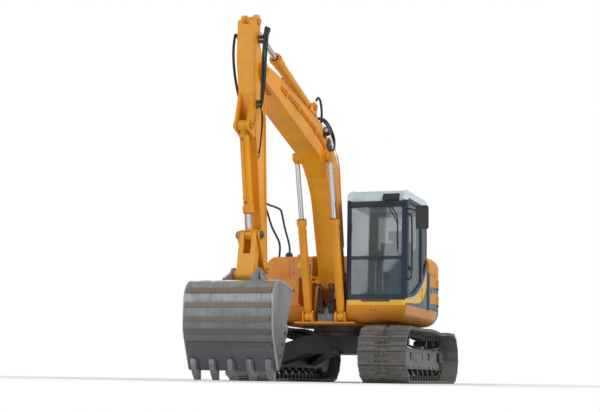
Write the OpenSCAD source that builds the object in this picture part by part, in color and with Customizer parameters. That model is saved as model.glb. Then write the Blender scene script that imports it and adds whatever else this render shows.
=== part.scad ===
// Crawler excavator with a short rounded tail, one-piece boom, arm and digging bucket.
// Millimetres. X forward, Y to the machine's left, Z up. The origin is the swing axis at ground level.
// The machine stands with its boom part raised, its arm close to vertical and its bucket just off the ground.

/* [Tracks] */
// Overall length of one track over its cleats
track_length = 3740; // [3600:10:3900]
// Height of one track from cleat tip to cleat tip
track_height = 810; // [790:5:840]
// Width of the track shoes
shoe_width = 700; // [500:50:700]
// Distance between the centre lines of the two tracks
track_gauge = 2030; // [1990:10:2100]
// Number of shoes on each track
shoe_count = 44; // [42:1:46]
// Height of a cleat above the shoe plate
cleat_height = 26; // [20:1:30]
// Thickness of the shoe plate
shoe_thickness = 14; // [12:1:18]
// Height of the chain links from shoe to rail
link_height = 84; // [78:1:90]
// Number of bottom rollers on each side
roller_count = 7; // [6:1:7]
// Radius of the bottom rollers
roller_radius = 76; // [68:1:80]
// Radius of the upper carrier rollers
carrier_radius = 58; // [50:1:62]

/* [Undercarriage frame] */
// Height of the bottom of the track frames
frame_bottom = 215; // [205:5:225]
// Height of the top of the track frames
frame_top = 515; // [500:5:530]
// Width of a track frame box
frame_width = 370; // [350:10:380]
// Height of the bottom of the centre frame
centre_bottom = 430; // [420:5:460]
// Height of the top of the centre frame
centre_top = 690; // [670:5:710]
// Outer radius of the swing ring
swing_ring_radius = 560; // [520:5:600]

/* [Upper body] */
// Width of the upper body
body_width = 2490; // [2470:10:2510]
// Radius swept by the rounded tail
tail_radius = 1500; // [1470:10:1540]
// Height of the bottom face of the deck plate
deck_bottom = 850; // [840:5:855]
// Thickness of the deck plate
deck_thickness = 30; // [24:1:34]
// Height of the crease where the belly turns into the sides
crease_height = 1120; // [1115:1:1125]
// Height of the top of the engine housing
body_top = 1980; // [1950:5:2010]
// Radius of the rounded top edge of the housing
top_radius = 180; // [150:5:200]
// Thickness of the housing sheets
sheet = 25; // [18:1:30]
// Height where the counterweight ends and the housing above begins
weight_top = 1480; // [1440:10:1520]
// Front face of the counterweight
weight_front = -760; // [-790:10:-750]
// Height where the engine hood meets the housing below it
hood_line = 1700; // [1680:5:1720]
// Front edge of the engine hood
hood_front = -220; // [-230:5:-210]

/* [Cab] */
// Position of the front face of the cab
cab_front = 1330; // [1320:5:1340]
// Position of the rear face of the cab
cab_rear = -130; // [-140:5:-120]
// Inner side of the cab next to the boom
cab_inner = 332; // [330:1:340]
// Outer side of the cab
cab_outer = 1245; // [1240:1:1245]
// Height of the cab roof
cab_roof = 2830; // [2800:10:2860]
// Thickness of the cab walls
cab_wall = 55; // [50:1:60]
// Thickness of the window glass
glass = 8; // [6:1:10]
// Rear edge of the cab door opening
door_rear = 330; // [320:5:340]
// Front edge of the cab door opening
door_front = 1240; // [1230:5:1245]

/* [Boom] */
// Forward position of the boom's foot pin
foot_x = 900; // [890:5:910]
// Height of the boom's foot pin
foot_z = 1500; // [1490:5:1510]
// Length of the boom between its end pins
boom_length = 4262; // [4250:1:4280]
// Angle of the line between the end pins at the digging pose
boom_slope = 26.3; // [26:0.1:26.6]
// Angle that the boom is raised above that pose for standing
boom_raise = 7.8; // [7.6:0.1:8.4]
// Width of the boom box
boom_width = 320; // [310:5:324]

/* [Arm] */
// Width of the arm box
arm_width = 205; // [195:5:205]

/* [Bucket] */
// Width of the bucket over its side plates
bucket_width = 1120; // [1080:10:1140]
// Thickness of the bucket shell
bucket_sheet = 24; // [20:1:28]
// Number of teeth
tooth_count = 5; // [4:1:6]

/* [Cylinders] */
// Distance of each boom cylinder from the centre plane
boom_ram_y = 250; // [249:1:251]
// Outer radius of the boom cylinder barrels
boom_barrel_radius = 60; // [56:1:62]
// Radius of the boom cylinder rods
boom_rod_radius = 36; // [32:1:38]
// Length of a boom cylinder barrel from its eye to its gland
boom_barrel_length = 1460; // [1440:10:1480]
// Outer radius of the arm cylinder barrel
arm_barrel_radius = 68; // [62:1:72]
// Radius of the arm cylinder rod
arm_rod_radius = 38; // [34:1:42]
// Length of the arm cylinder barrel from its eye to its gland
arm_barrel_length = 1490; // [1470:10:1510]
// Outer radius of the bucket cylinder barrel
bucket_barrel_radius = 58; // [54:1:60]
// Radius of the bucket cylinder rod
bucket_rod_radius = 33; // [30:1:36]
// Length of the bucket cylinder barrel from its eye to its gland
bucket_barrel_length = 1090; // [1080:5:1100]

/* [Fits] */
// Running gap between a pin and its bore, on the radius
pin_gap = 0.05; // [0.02:0.01:0.1]
// Side gap between parts that turn next to each other
side_gap = 6; // [5:1:8]
// Gap round doors and lids
panel_gap = 6; // [5:1:8]
// Radius of the main pins
pin_radius = 35; // [32:1:36]

/* [Hidden] */

big = 6000;
half = body_width / 2;
lane = track_gauge / 2;
track_radius = track_height / 2;
plate_radius = track_radius - cleat_height;
rail_drop = shoe_thickness + link_height;
rail_y = 66;
rail_thick = 36;
arc_bulge = 9;
wheel_x = track_length / 2 - track_radius - arc_bulge;
deck_top = deck_bottom + deck_thickness;
belly_radius = crease_height - deck_top;

// Side-view points are [x, z]; a third number is a corner radius
function unit(v) = v / norm(v);
function turn(p, c, a) = [c[0] + (p[0] - c[0]) * cos(a) - (p[1] - c[1]) * sin(a),
                          c[1] + (p[0] - c[0]) * sin(a) + (p[1] - c[1]) * cos(a)];
function lean(p, q) = atan2(q[1] - p[1], q[0] - p[0]);
function flat(p) = [p[0], p[1]];
function fold(a) = a > 180 ? a - 360 : a < -180 ? a + 360 : a;
// One corner of an outline, as an arc of straight steps when it has a radius
function corner(a, b, c, steps) =
  b[2] == undef || b[2] == 0 ? [flat(b)] :
  let (u = unit(flat(a) - flat(b)), v = unit(flat(c) - flat(b)), h = acos(u * v) / 2,
       m = flat(b) + unit(u + v) * b[2] / sin(h),
       s = flat(b) + u * b[2] / tan(h), e = flat(b) + v * b[2] / tan(h),
       a0 = lean(m, s), sweep = fold(lean(m, e) - a0))
  [for (k = [0 : steps]) m + b[2] * [cos(a0 + sweep * k / steps), sin(a0 + sweep * k / steps)]];
function rounded(p, steps = 6) =
  let (n = len(p)) [for (i = [0 : n - 1]) each corner(p[(i + n - 1) % n], p[i], p[(i + 1) % n], steps)];
// Moves every corner of a convex outline inwards and shrinks its radii
function inset(p, t) =
  let (n = len(p)) [for (i = [0 : n - 1])
    let (b = p[i], u = unit(flat(p[(i + n - 1) % n]) - flat(b)), v = unit(flat(p[(i + 1) % n]) - flat(b)),
         h = acos(u * v) / 2, q = flat(b) + unit(u + v) * t / sin(h))
    [q[0], q[1], b[2] == undef ? 0 : max(b[2] - t, 0)]];

// Pins of the digging gear in side view
foot = [foot_x, foot_z];
tip_low = foot + boom_length * [cos(boom_slope), sin(boom_slope)];
boom_tip = turn(tip_low, foot, boom_raise);
arm_shift = boom_tip - tip_low;
boom_ram_base = [1250, 955];
boom_ram_eye = turn([2150, 3070], foot, boom_raise);
arm_ram_base = turn([2520, 3690], foot, boom_raise);
arm_ram_eye = boom_tip + [150, 610];
bucket_ram_base = boom_tip + [320, -750];
bucket_ram_eye = boom_tip + [20, -2080];
tipping_pin = boom_tip + [-200, -2500];
bucket_pin = boom_tip + [-300, -2820];
link_pin = boom_tip + [110, -2590];

// Solid of a side-view outline, a thickness wide and centred on y
module slab(y, t) {
  translate([0, y + t / 2, 0]) rotate([90, 0, 0]) linear_extrude(t) children();
}
module both(y, t) {
  for (s = [-1, 1]) slab(s * y, t) children();
}
module disc(p, r) {
  translate(flat(p)) circle(r, $fn = 48);
}
// Round bar across the machine from y0 to y1
module bar(p, r, y0, y1) {
  translate([p[0], y1, p[1]]) rotate([90, 0, 0]) cylinder(r = r, h = y1 - y0, $fn = 48);
}
module block(x0, x1, y0, y1, z0, z1) {
  translate([x0, y0, z0]) cube([x1 - x0, y1 - y0, z1 - z0]);
}
// Round bar in a side plane from p, along the line to q, between two distances
module rod(p, q, y, r, d0, d1) {
  translate([p[0], y, p[1]]) rotate([0, 90 - lean(p, q), 0]) translate([0, 0, d0])
    cylinder(r = r, h = d1 - d0, $fn = 48);
}

// Smooth route through points chosen by hand, with steps between each pair
function bend(a, b, c, d, t) =
  0.5 * (2 * b + (c - a) * t + (2 * a - 5 * b + 4 * c - d) * t * t + (3 * b - a - 3 * c + d) * t * t * t);
function route(p, steps) = let (n = len(p) - 1)
  [for (i = [0 : n - 1]) for (k = [0 : i == n - 1 ? steps : steps - 1])
    bend(p[max(i - 1, 0)], p[i], p[i + 1], p[min(i + 2, n)], k / steps)];
// Directions along a route; its ends face the way its first and last legs do
function headings(p, first, last) =
  [for (i = [0 : len(p) - 1]) i == 0 ? first : i == len(p) - 1 ? last : unit(p[i + 1] - p[i - 1])];
function first_side(t) = unit(cross(t, abs(t[2]) < 0.9 ? [0, 0, 1] : [1, 0, 0]));
function sides(t) = [for (i = 0, s = first_side(t[0]); i < len(t); i = i + 1,
  s = i < len(t) ? unit(s - t[i] * (s * t[i])) : s) s];
// Tube of one radius along a route
module tube(points, r, steps = 4, n = 10) {
  p = route(points, steps);
  count = len(points);
  t = headings(p, unit(points[1] - points[0]), unit(points[count - 1] - points[count - 2]));
  s = sides(t);
  m = len(p);
  rings = [for (i = [0 : m - 1]) for (k = [0 : n - 1])
    p[i] + r * (cos(360 * k / n) * s[i] + sin(360 * k / n) * cross(t[i], s[i]))];
  walls = [for (i = [0 : m - 2]) for (k = [0 : n - 1])
    [i * n + k, (i + 1) * n + k, (i + 1) * n + (k + 1) % n, i * n + (k + 1) % n]];
  caps = [[for (k = [0 : n - 1]) k], [for (k = [n - 1 : -1 : 0]) (m - 1) * n + k]];
  polyhedron(points = rings, faces = concat(walls, caps), convexity = 8);
}

// Path of the shoe plates: how far the top run stands above or hangs below level at x
function bell(t) = abs(t) < 1 ? (1 + cos(180 * t)) / 2 : 0;
function drape(x) = 10 * bell((x - 150) / 420) - 26 * bell((x + 620) / 480);
run = 2 * wheel_x;
arc = PI * plate_radius;
loop_length = 2 * (run + arc);
// Position along the loop gives [x, z, heading]
function along(s) =
  s < run ? [s - wheel_x, cleat_height, 0] :
  s < run + arc ? let (a = (s - run) / plate_radius * 180 / PI)
    [wheel_x + plate_radius * sin(a), track_radius - plate_radius * cos(a), a] :
  s < 2 * run + arc ? let (x = wheel_x - (s - run - arc))
    [x, track_radius + plate_radius + drape(x), 180 + atan((drape(x + 1) - drape(x - 1)) / 2)] :
  let (a = (s - 2 * run - arc) / plate_radius * 180 / PI)
    [-wheel_x - plate_radius * sin(a), track_radius + plate_radius * cos(a), 180 + a];
// A point of one shoe: u along the track, v outwards from the plate
function on_shoe(place, u, v) = [place[0] + u * cos(place[2]) + v * sin(place[2]),
                                 place[1] + u * sin(place[2]) - v * cos(place[2])];
pitch = loop_length / shoe_count;
// Outer outline of a shoe: part of the pitch, part of the cleat height
shoe_outline = [[-0.5, -0.2], [-0.45, 1], [-0.37, 1], [-0.31, 0], [-0.05, 0], [-0.03, 0.9], [0.03, 0.9],
                [0.05, 0], [0.31, 0], [0.37, 1], [0.45, 1]];

module track(y) {
  places = [for (i = [0 : shoe_count - 1]) along((i + 0.5) * pitch)];
  ends = [for (i = [0 : shoe_count - 1]) along(i * pitch)];
  outer = [for (p = places) for (q = shoe_outline) on_shoe(p, q[0] * pitch, q[1] * cleat_height)];
  inner = [for (p = places) for (u = [-0.46, 0.46]) on_shoe(p, u * pitch, -shoe_thickness)];
  link_outer = [for (p = ends) on_shoe(p, 0, 2 - shoe_thickness)];
  link_inner = [for (p = ends) on_shoe(p, 0, -rail_drop)];
  color("dimgray") {
    slab(y, shoe_width) difference() {
      polygon(outer);
      polygon(inner);
    }
    for (s = [-1, 1]) slab(y + s * rail_y, rail_thick) difference() {
      polygon(link_outer);
      polygon(link_inner);
    }
  }
}
module track_left() {
  track(lane);
}
module track_right() {
  track(-lane);
}

tread_radius = plate_radius - rail_drop - 12;
idler_axle = 70;
axle_half = frame_width / 2 - 5;
module idlers() {
  color("dimgray") for (s = [-1, 1]) difference() {
    union() {
      bar([wheel_x, track_radius], tread_radius, s * lane - 90, s * lane + 90);
      bar([wheel_x, track_radius], tread_radius + 26, s * lane - 36, s * lane + 36);
      bar([wheel_x, track_radius], idler_axle, s * lane - axle_half, s * lane + axle_half);
    }
    for (e = [-1, 1]) translate([wheel_x, s * lane + e * 66, track_radius]) rotate([90, 0, 0])
      difference() {
        cylinder(r = tread_radius - 50, h = 50, center = true, $fn = 64);
        cylinder(r = 110, h = 50, center = true, $fn = 48);
      }
  }
}

tooth_steps = 13;
module sprockets() {
  root = tread_radius - 6;
  peak = plate_radius - shoe_thickness - 20;
  step = 360 / tooth_steps;
  color("dimgray") for (s = [-1, 1]) {
    slab(s * lane, 56) translate([-wheel_x, track_radius]) polygon([for (i = [0 : tooth_steps - 1])
      for (q = [[root, -0.34], [root, -0.2], [peak, -0.06], [peak, 0.06], [root, 0.2], [root, 0.34]])
        q[0] * [cos((i + q[1]) * step), sin((i + q[1]) * step)]]);
    bar([-wheel_x, track_radius], 205, s * lane - (s > 0 ? 190 : 110), s * lane + (s > 0 ? 110 : 190));
    bar([-wheel_x, track_radius], 150, s * lane - 150, s * lane + 150);
    bar([-wheel_x, track_radius], 96, s * lane - (s > 0 ? 0 : 166), s * lane + (s > 0 ? 166 : 0));
  }
}

roller_z = cleat_height + rail_drop + roller_radius;
roller_span = 1990;
carrier_x = [620, -560];
carrier_z = track_height - cleat_height - rail_drop - carrier_radius - 8;
module track_rollers() {
  color("dimgray") for (s = [-1, 1]) {
    for (i = [0 : roller_count - 1]) {
      p = [-roller_span / 2 + roller_span * i / (roller_count - 1), roller_z];
      bar(p, roller_radius, s * lane - 100, s * lane - 50);
      bar(p, roller_radius, s * lane + 50, s * lane + 100);
      bar(p, 56, s * lane - 50, s * lane + 50);
      bar(p, 32, s * lane - frame_width / 2 + 20, s * lane + frame_width / 2 - 20);
    }
    for (x = carrier_x) {
      bar([x, carrier_z + drape(x)], carrier_radius, s * lane - 100, s * lane + 100);
      block(x - 45, x + 45, s * lane - 60, s * lane + 60, frame_top,
            carrier_z + drape(x) - carrier_radius + 20);
    }
  }
}

frame_rear = -1105;
frame_front = 1130;
fork_front = 1480;
// Openings in the outer side plate of a track frame: centre x, width, bottom, top
frame_windows = [[1200, 90, 350, 460], [850, 130, 350, 460], [90, 60, 350, 460], [-350, 150, 350, 460]];
module track_frames() {
  color("gray") for (s = [-1, 1]) difference() {
    union() {
      block(frame_rear, frame_front, s * lane - frame_width / 2, s * lane + frame_width / 2, frame_bottom,
            frame_top);
      idler_fork(s);
      slab(s * (lane - frame_width / 2 + 60), 120) drive_bracket();
    }
    block(frame_rear + 30, frame_front - 30, s * lane - frame_width / 2 + 20, s * lane + frame_width / 2 - 20,
          frame_bottom - 10, frame_bottom + 120);
    for (w = frame_windows)
      translate([w[0] - w[1] / 2, s * (lane + frame_width / 2) - 40, w[2]]) cube([w[1], 80, w[3] - w[2]]);
    bar([wheel_x, track_radius], idler_axle + pin_gap, s * lane - big, s * lane + big);
  }
}
// Side plates that hold the idler
module idler_fork(s) {
  for (e = [-1, 1]) slab(s * lane + e * (frame_width / 2 - 15), 30)
    polygon([[frame_front - 200, frame_bottom + 20], [fork_front, frame_bottom + 70],
             [fork_front + 50, frame_bottom + 130], [fork_front + 50, frame_top - 30],
             [frame_front - 200, frame_top]]);
}
// Inner bracket that holds the drive at the rear
module drive_bracket() {
  difference() {
    union() {
      translate([frame_rear - 140, frame_bottom + 20]) square([180, frame_top - frame_bottom - 20]);
      disc([-wheel_x, track_radius], 250);
    }
    disc([-wheel_x, track_radius], 205.3);
  }
}

leg_reach = lane - frame_width / 2;
// Towing lugs at the front and rear of the centre frame, each with an upright hole
tow_x = 650;
tow_hole = 32;
tow_width = 150;
tow_thick = 40;
module car_body() {
  color("dimgray") {
    translate([0, 0, centre_bottom]) cylinder(r = 520, h = centre_top - centre_bottom, $fn = 96);
    intersection() {
      linear_extrude(big) for (a = [-1, 1]) polygon([[-a * 380, 0], [a * 60, 380], [a * 560, leg_reach],
        [a * 980, leg_reach], [a * 560, 0], [a * 980, -leg_reach], [a * 560, -leg_reach], [a * 60, -380]]);
      translate([-big / 2, 0, 0]) rotate([90, 0, 90]) linear_extrude(big) polygon([
        [-leg_reach, frame_bottom + 40], [-leg_reach, frame_top + 20], [-440, centre_top], [440, centre_top],
        [leg_reach, frame_top + 20], [leg_reach, frame_bottom + 40], [440, centre_bottom],
        [-440, centre_bottom]]);
    }
    for (s = [-1, 1]) translate([0, 0, centre_bottom]) linear_extrude(tow_thick) difference() {
      union() {
        translate([s * tow_x, 0]) circle(tow_width / 2, $fn = 48);
        translate([s > 0 ? 480 : -tow_x, -tow_width / 2]) square([tow_x - 480, tow_width]);
      }
      translate([s * tow_x, 0]) circle(tow_hole, $fn = 48);
    }
  }
}

module swing_ring() {
  color("dimgray") translate([0, 0, centre_top]) difference() {
    union() {
      cylinder(r = swing_ring_radius - 60, h = deck_bottom - centre_top, $fn = 96);
      cylinder(r = swing_ring_radius, h = 60, $fn = 96);
      translate([0, 0, 80]) cylinder(r = swing_ring_radius - 15, h = deck_bottom - centre_top - 80, $fn = 96);
    }
    translate([0, 0, -1]) cylinder(r = 330, h = big, $fn = 96);
  }
}

tower_inner = boom_width / 2 + side_gap;
tower_thick = 31;
tower_y = tower_inner + tower_thick / 2;
outer_ear_y = 318;
foot_pin_radius = pin_radius + 10;
tower_rear = -155;
module revolving_frame() {
  color("orange") {
    translate([0, 0, deck_bottom]) linear_extrude(deck_thickness) union() {
      translate([-900, -455]) square([2200, 910]);
      intersection() {
        circle(1150, $fn = 96);
        translate([-1200, -900]) square([1700, 1800]);
      }
    }
    both(tower_y, tower_thick) union() {
      disc(foot, 140);
      disc(boom_ram_base, 90);
      difference() {
        polygon([[tower_rear, deck_top], [tower_rear, 1080], [-60, 1150], [790, 1590], [1020, 1575],
                 [1130, 1250], [1150, 1080], [1172, 1000], [1340, 955], [1320, deck_top]]);
        disc([620, 1180], 75);
        disc([120, 1040], 55);
      }
    }
    both(outer_ear_y, 22) union() {
      disc(boom_ram_base, 85);
      polygon([[1120, deck_top], [1165, 960], [1335, 960], [1320, deck_top]]);
    }
    block(tower_rear, tower_rear + 20, -tower_inner, tower_inner, deck_top, 1060);
    block(330, 350, -tower_inner, tower_inner, deck_top, 1150);
    bar(foot, foot_pin_radius, -tower_inner - tower_thick - 15, tower_inner + tower_thick + 15);
    bar(boom_ram_base, pin_radius, -outer_ear_y, -tower_inner - 2);
    bar(boom_ram_base, pin_radius, tower_inner + 2, outer_ear_y);
  }
}

// Cross-section of the upper body, pushed in by a distance
module body_section(g, low, high) {
  translate([-(half - belly_radius), deck_top + g])
    square([2 * (half - belly_radius), high - deck_top - 2 * g]);
  for (s = [-1, 1]) intersection() {
    translate([s * (half - belly_radius), crease_height]) circle(belly_radius - g, $fn = 96);
    translate([-half, low]) square([2 * half, crease_height - low]);
  }
  translate([-half + g, crease_height]) square([2 * (half - g), high - top_radius - crease_height]);
  translate([-half + top_radius, crease_height]) square([2 * (half - top_radius), high - g - crease_height]);
  for (s = [-1, 1]) translate([s * (half - top_radius), high - top_radius]) circle(top_radius - g, $fn = 96);
}
module tail_section(g, high) {
  intersection() {
    translate([tail_radius - half, 0]) body_section(g, 0, high);
    square([big, big]);
  }
}
// The whole rounded body behind the cab and the tanks
module body_volume(g, high) {
  intersection() {
    translate([-tail_radius, 0, 0]) rotate([90, 0, 90]) linear_extrude(2 * tail_radius)
      body_section(g, 0, high);
    union() {
      rotate_extrude($fn = 180) union() {
        square([tail_radius - 300, high - g]);
        tail_section(g, high);
      }
      block(-500, tail_radius, -half, half, 0, big);
    }
  }
}
module housing_shell() {
  difference() {
    body_volume(0, body_top);
    body_volume(sheet, body_top);
  }
}

// Rounded front of a belly skirt
module skirt_volume(g, x, y0, y1) {
  intersection() {
    body_volume(g, body_top);
    slab(0, big) union() {
      translate([-big / 2, deck_top + g]) square([big / 2 + x - belly_radius, crease_height - deck_top - g]);
      intersection() {
        translate([x - belly_radius, crease_height]) circle(belly_radius - g, $fn = 96);
        translate([0, 0]) square([big, crease_height]);
      }
    }
    block(weight_front, big, y0, y1, 0, crease_height);
  }
}
skirt_inner = 345;
step_front = 1000;
step_top = crease_height + 30;
// Radius of the rolled front edge of the step
step_nose = 18;
step_outer = -1190;
step_inner = -skirt_inner - 130;
module belly_skirts() {
  color("orange") {
    difference() {
      skirt_volume(0, cab_front, skirt_inner, half);
      skirt_volume(sheet, cab_front, skirt_inner - 1, half);
    }
    difference() {
      skirt_volume(0, step_front, -half, -skirt_inner);
      skirt_volume(sheet, step_front, -half, -skirt_inner + 1);
    }
    block(housing_front, step_front, step_outer, step_inner, crease_height, step_top);
    bar([step_front, (crease_height + step_top) / 2], step_nose, step_outer, step_inner);
  }
}

// Casting line round the counterweight
groove_z = 1240;
groove_height = 12;
groove_depth = 9;
module counterweight() {
  color("orange") difference() {
    intersection() {
      body_volume(0, body_top);
      block(-big, weight_front, -big, big, deck_top, weight_top);
    }
    difference() {
      block(-big, weight_front - 40, -big, big, groove_z, groove_z + groove_height);
      body_volume(groove_depth, body_top);
    }
  }
}

module engine_block() {
  color("dimgray") {
    block(-700, -270, -420, 420, 960, 1560);
    for (x = [-660, -360]) for (s = [-1, 1]) block(x, x + 60, s * 300 - 40, s * 300 + 40, deck_top, 960);
  }
}

// Door hinges stand upright beside the opening. Each has a barrel on the door between two fixed knuckles
hinge_radius = 11;
hinge_height = 100;
hinge_reach = 60;
hinge_gap = 0.8;
knuckle = 28;
module door_hinge(h, face, s, z) {
  translate([h[0], s * h[1], z]) cylinder(r = hinge_radius, h = hinge_height, $fn = 24);
  for (leaf = [[0, face + 4], [14, face - 1]])
    block(h[0] + leaf[0], h[0] + hinge_reach, min(s * leaf[1], s * h[1]), max(s * leaf[1], s * h[1]), z,
          z + hinge_height);
}
module fixed_knuckles(h, face, s, z) {
  for (base = [z - knuckle - hinge_gap, z + hinge_height + hinge_gap]) {
    translate([h[0], s * h[1], base]) cylinder(r = hinge_radius, h = knuckle, $fn = 24);
    for (leaf = [[hinge_reach, face], [10, face - 1]])
      block(h[0] - leaf[0], h[0], min(s * leaf[1], s * h[1]), max(s * leaf[1], s * h[1]), base,
            base + knuckle);
  }
}

// Hood hinges lie across the roof: a barrel on the hood between two knuckles on the housing
hood_pin = [hood_front - 3, body_top + 9];
hood_barrel = 9;
hood_hinge_y = [-580, 580];
module hood_leaf(y, length, way) {
  bar(hood_pin, hood_barrel, y, y + length);
  block(min(hood_pin[0], hood_pin[0] + way), max(hood_pin[0], hood_pin[0] + way), y, y + length, body_top - 1,
        hood_pin[1]);
}

bulkhead = -165;
housing_front = 400;
housing_top = 1930;
// Where the straight sides run into the round tail
side_rear = -sqrt(pow(tail_radius, 2) - pow(half, 2));
// Side door openings: rear edge, front edge, bottom, top
bay = [side_rear + 92, -245, 1150, 1680];
bay_hinge = [bay[0] - 4, half + 13];
bay_hinge_z = [1230, 1500];
module rear_housing() {
  color("orange") {
    difference() {
      intersection() {
        housing_shell();
        union() {
          block(-big, bulkhead, -big, big, crease_height, hood_line);
          block(hood_front, bulkhead, -big, big, crease_height, big);
        }
      }
      block(-big, weight_front, -big, big, 0, weight_top);
      block(bay[0], bay[1], -big, big, bay[2], bay[3]);
    }
    intersection() {
      body_volume(sheet, body_top);
      block(bulkhead - sheet, bulkhead, -big, big, deck_top, big);
    }
    for (s = [-1, 1]) for (z = bay_hinge_z) fixed_knuckles(bay_hinge, half, s, z);
    for (y = hood_hinge_y) for (e = [-knuckle - 50 - hinge_gap, 50 + hinge_gap])
      hood_leaf(y + e, knuckle, 50);
  }
}
module engine_hood() {
  color("orange") {
    intersection() {
      housing_shell();
      block(-big, hood_front - panel_gap, -big, big, hood_line + panel_gap, big);
    }
    for (y = hood_hinge_y) hood_leaf(y - 50, 100, -50);
  }
}
module bay_door(s) {
  color("orange") {
    intersection() {
      housing_shell();
      block(bay[0] + panel_gap, bay[1] - panel_gap, s > 0 ? 900 : -big, s > 0 ? big : -900,
            bay[2] + panel_gap, bay[3] - panel_gap);
    }
    for (z = bay_hinge_z) door_hinge(bay_hinge, half, s, z);
  }
}
module side_door_left() {
  bay_door(1);
}
// Louvre grooves in the right door
louvre_count = 7;
louvre_height = 14;
louvre_step = 44;
louvre_depth = 9;
module side_door_right() {
  color("orange") difference() {
    bay_door(-1);
    for (i = [0 : louvre_count - 1]) let (z = bay[2] + 120 + i * louvre_step)
      block(bay[0] + hinge_reach + 50, bay[1] - 60, -half - 1, -half + louvre_depth, z, z + louvre_height);
  }
}

// Tool box on the step: front x, outer y, inner y, top
box = [700, -1050, -600, 1560];
lid_hinge = [housing_front + 12, box[3] + 14];
tank_inner = 480;
// Filler cap on the tank: x, y and radius
filler = [230, -720, 52];
module right_housing() {
  color("orange") {
    intersection() {
      translate([bulkhead, 0, 0]) rotate([90, 0, 90]) linear_extrude(housing_front - bulkhead)
        body_section(0, 0, housing_top);
      block(-big, big, -half, -tank_inner, crease_height, big);
    }
    translate([filler[0], filler[1], housing_top - 1]) cylinder(r = filler[2], h = 36, $fn = 48);
    translate([filler[0], filler[1], housing_top]) cylinder(r = filler[2] + 14, h = 10, $fn = 48);
    for (y = [box[1] + 4 + hinge_gap / 4, box[2] - 20 - hinge_gap / 4]) {
      bar(lid_hinge, 8, y, y + 16);
      block(housing_front - 1, lid_hinge[0], y, y + 16, lid_hinge[1] - 8, lid_hinge[1] + 8);
    }
  }
}

// Cooling slots in the front wall: right and left end, height of the lowest, height of one and their step
grille = [-985, -855, 1385, 26, 46];
latch_seat = [-780, -630, 1330, 1425];
module toolbox() {
  color("orange") difference() {
    block(housing_front, box[0], box[1], box[2], step_top, box[3]);
    block(housing_front + 20, box[0] - 20, box[1] + 20, box[2] - 20, step_top + 20, big);
    for (i = [0 : 2]) let (z = grille[2] + i * grille[4])
      block(box[0] - 21, box[0] + 1, grille[0], grille[1], z, z + grille[3]);
    block(box[0] - 8, box[0] + 1, latch_seat[0], latch_seat[1], latch_seat[2], latch_seat[3]);
  }
}
module toolbox_lid() {
  color("orange") {
    block(housing_front + 22, box[0] + 8, box[1] - 8, box[2] + 8, box[3] + 2, box[3] + 22);
    bar(lid_hinge, 8, box[1] + 21, box[2] - 21);
    block(lid_hinge[0], lid_hinge[0] + 20, box[1] + 21, box[2] - 21, box[3] + 8, box[3] + 20);
  }
}

module exhaust_stack() {
  color("black") translate([-60, -1020, housing_top]) {
    cylinder(r = 60, h = 60, $fn = 48);
    translate([0, 0, 60]) sphere(r = 60, $fn = 48);
  }
}

rail_tube = 17;
rail_foot_y = -1045;
grab_tube = 13;
grab_x = cab_front - 66;
module handrail() {
  color("black") {
    tube([[960, -1175, step_top], [960, -1175, 1400], [930, -1190, 2100], [860, -1190, 2620],
          [720, -1190, 2740], [400, -1190, 2750], [0, -1190, 2750], [-110, -1180, 2700],
          [-140, -1130, 2450], [-140, rail_foot_y, 2150], [-140, rail_foot_y, housing_top]], rail_tube);
    tube([[720, -1190, 2740], [560, -1190, 2640], [420, -1150, 2400], [350, rail_foot_y, 2150],
          [350, rail_foot_y, housing_top]], rail_tube);
    tube([[grab_x, cab_outer, 1500], [grab_x, cab_outer + 30, 1500], [cab_front - 40, cab_outer + 62, 1560],
          [cab_front - 40, cab_outer + 70, 2000], [cab_front - 40, cab_outer + 62, 2380],
          [grab_x, cab_outer + 30, 2440], [grab_x, cab_outer, 2440]], grab_tube);
  }
}

cab_mid = (cab_inner + cab_outer) / 2;
module cab_body(g) {
  intersection() {
    slab(0, big) polygon(rounded(inset([[cab_rear, crease_height], [cab_front, crease_height],
      [cab_front, cab_roof, 250], [cab_rear, cab_roof, 180]], g)));
    linear_extrude(big) polygon(rounded(inset([[cab_rear, cab_inner, 60], [cab_front, cab_inner, 60],
      [cab_front, cab_outer, 70], [cab_rear, cab_outer, 150]], g)));
    translate([-big / 2, 0, 0]) rotate([90, 0, 90]) linear_extrude(big) polygon(rounded(inset([
      [cab_inner, crease_height], [cab_outer, crease_height], [cab_outer, cab_roof, 90],
      [cab_inner, cab_roof, 90]], g)));
  }
}
pillar = 66;
sill = 1265;
split = 1810;
// Prisms that cut the windows, each right through one wall
module front_window(z0, z1) {
  translate([cab_front - 200, 0, 0]) rotate([90, 0, 90]) linear_extrude(400)
    polygon(rounded([[cab_inner + pillar, z0, 40], [cab_outer - pillar, z0, 40],
                     [cab_outer - pillar, z1, 30], [cab_inner + pillar, z1, 30]]));
}
module roof_window() {
  block(1010, big, cab_inner + pillar, cab_outer - pillar, 2640, big);
}
module quarter_window() {
  slab(cab_outer, 200) polygon(rounded([[-45, 1990, 60], [-20, 1880, 60], [265, 1600, 20], [265, 2640, 40],
                                        [-45, 2640, 80]]));
}
module inner_window() {
  slab(cab_inner, 200) polygon(rounded([[60, 1480, 60], [1210, 1480, 60], [1210, 2600, 90], [60, 2600, 60]]));
}
module rear_window() {
  translate([cab_rear - 100, 0, 0]) rotate([90, 0, 90]) linear_extrude(250)
    polygon(rounded([[cab_inner + 100, 2040, 50], [cab_outer - 190, 2040, 50],
                     [cab_outer - 190, 2620, 50], [cab_inner + 100, 2620, 50]]));
}
module fixed_windows() {
  front_window(sill, split - 15);
  front_window(split + 15, 2560);
  roof_window();
  quarter_window();
  inner_window();
  rear_window();
}
module door_outline(g) {
  slab(cab_outer, 300) polygon(rounded(inset([[door_rear, 1150, 30], [door_front, 1150, 30],
    [door_front, 2690, 60], [door_rear, 2690, 60]], g)));
}
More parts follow.
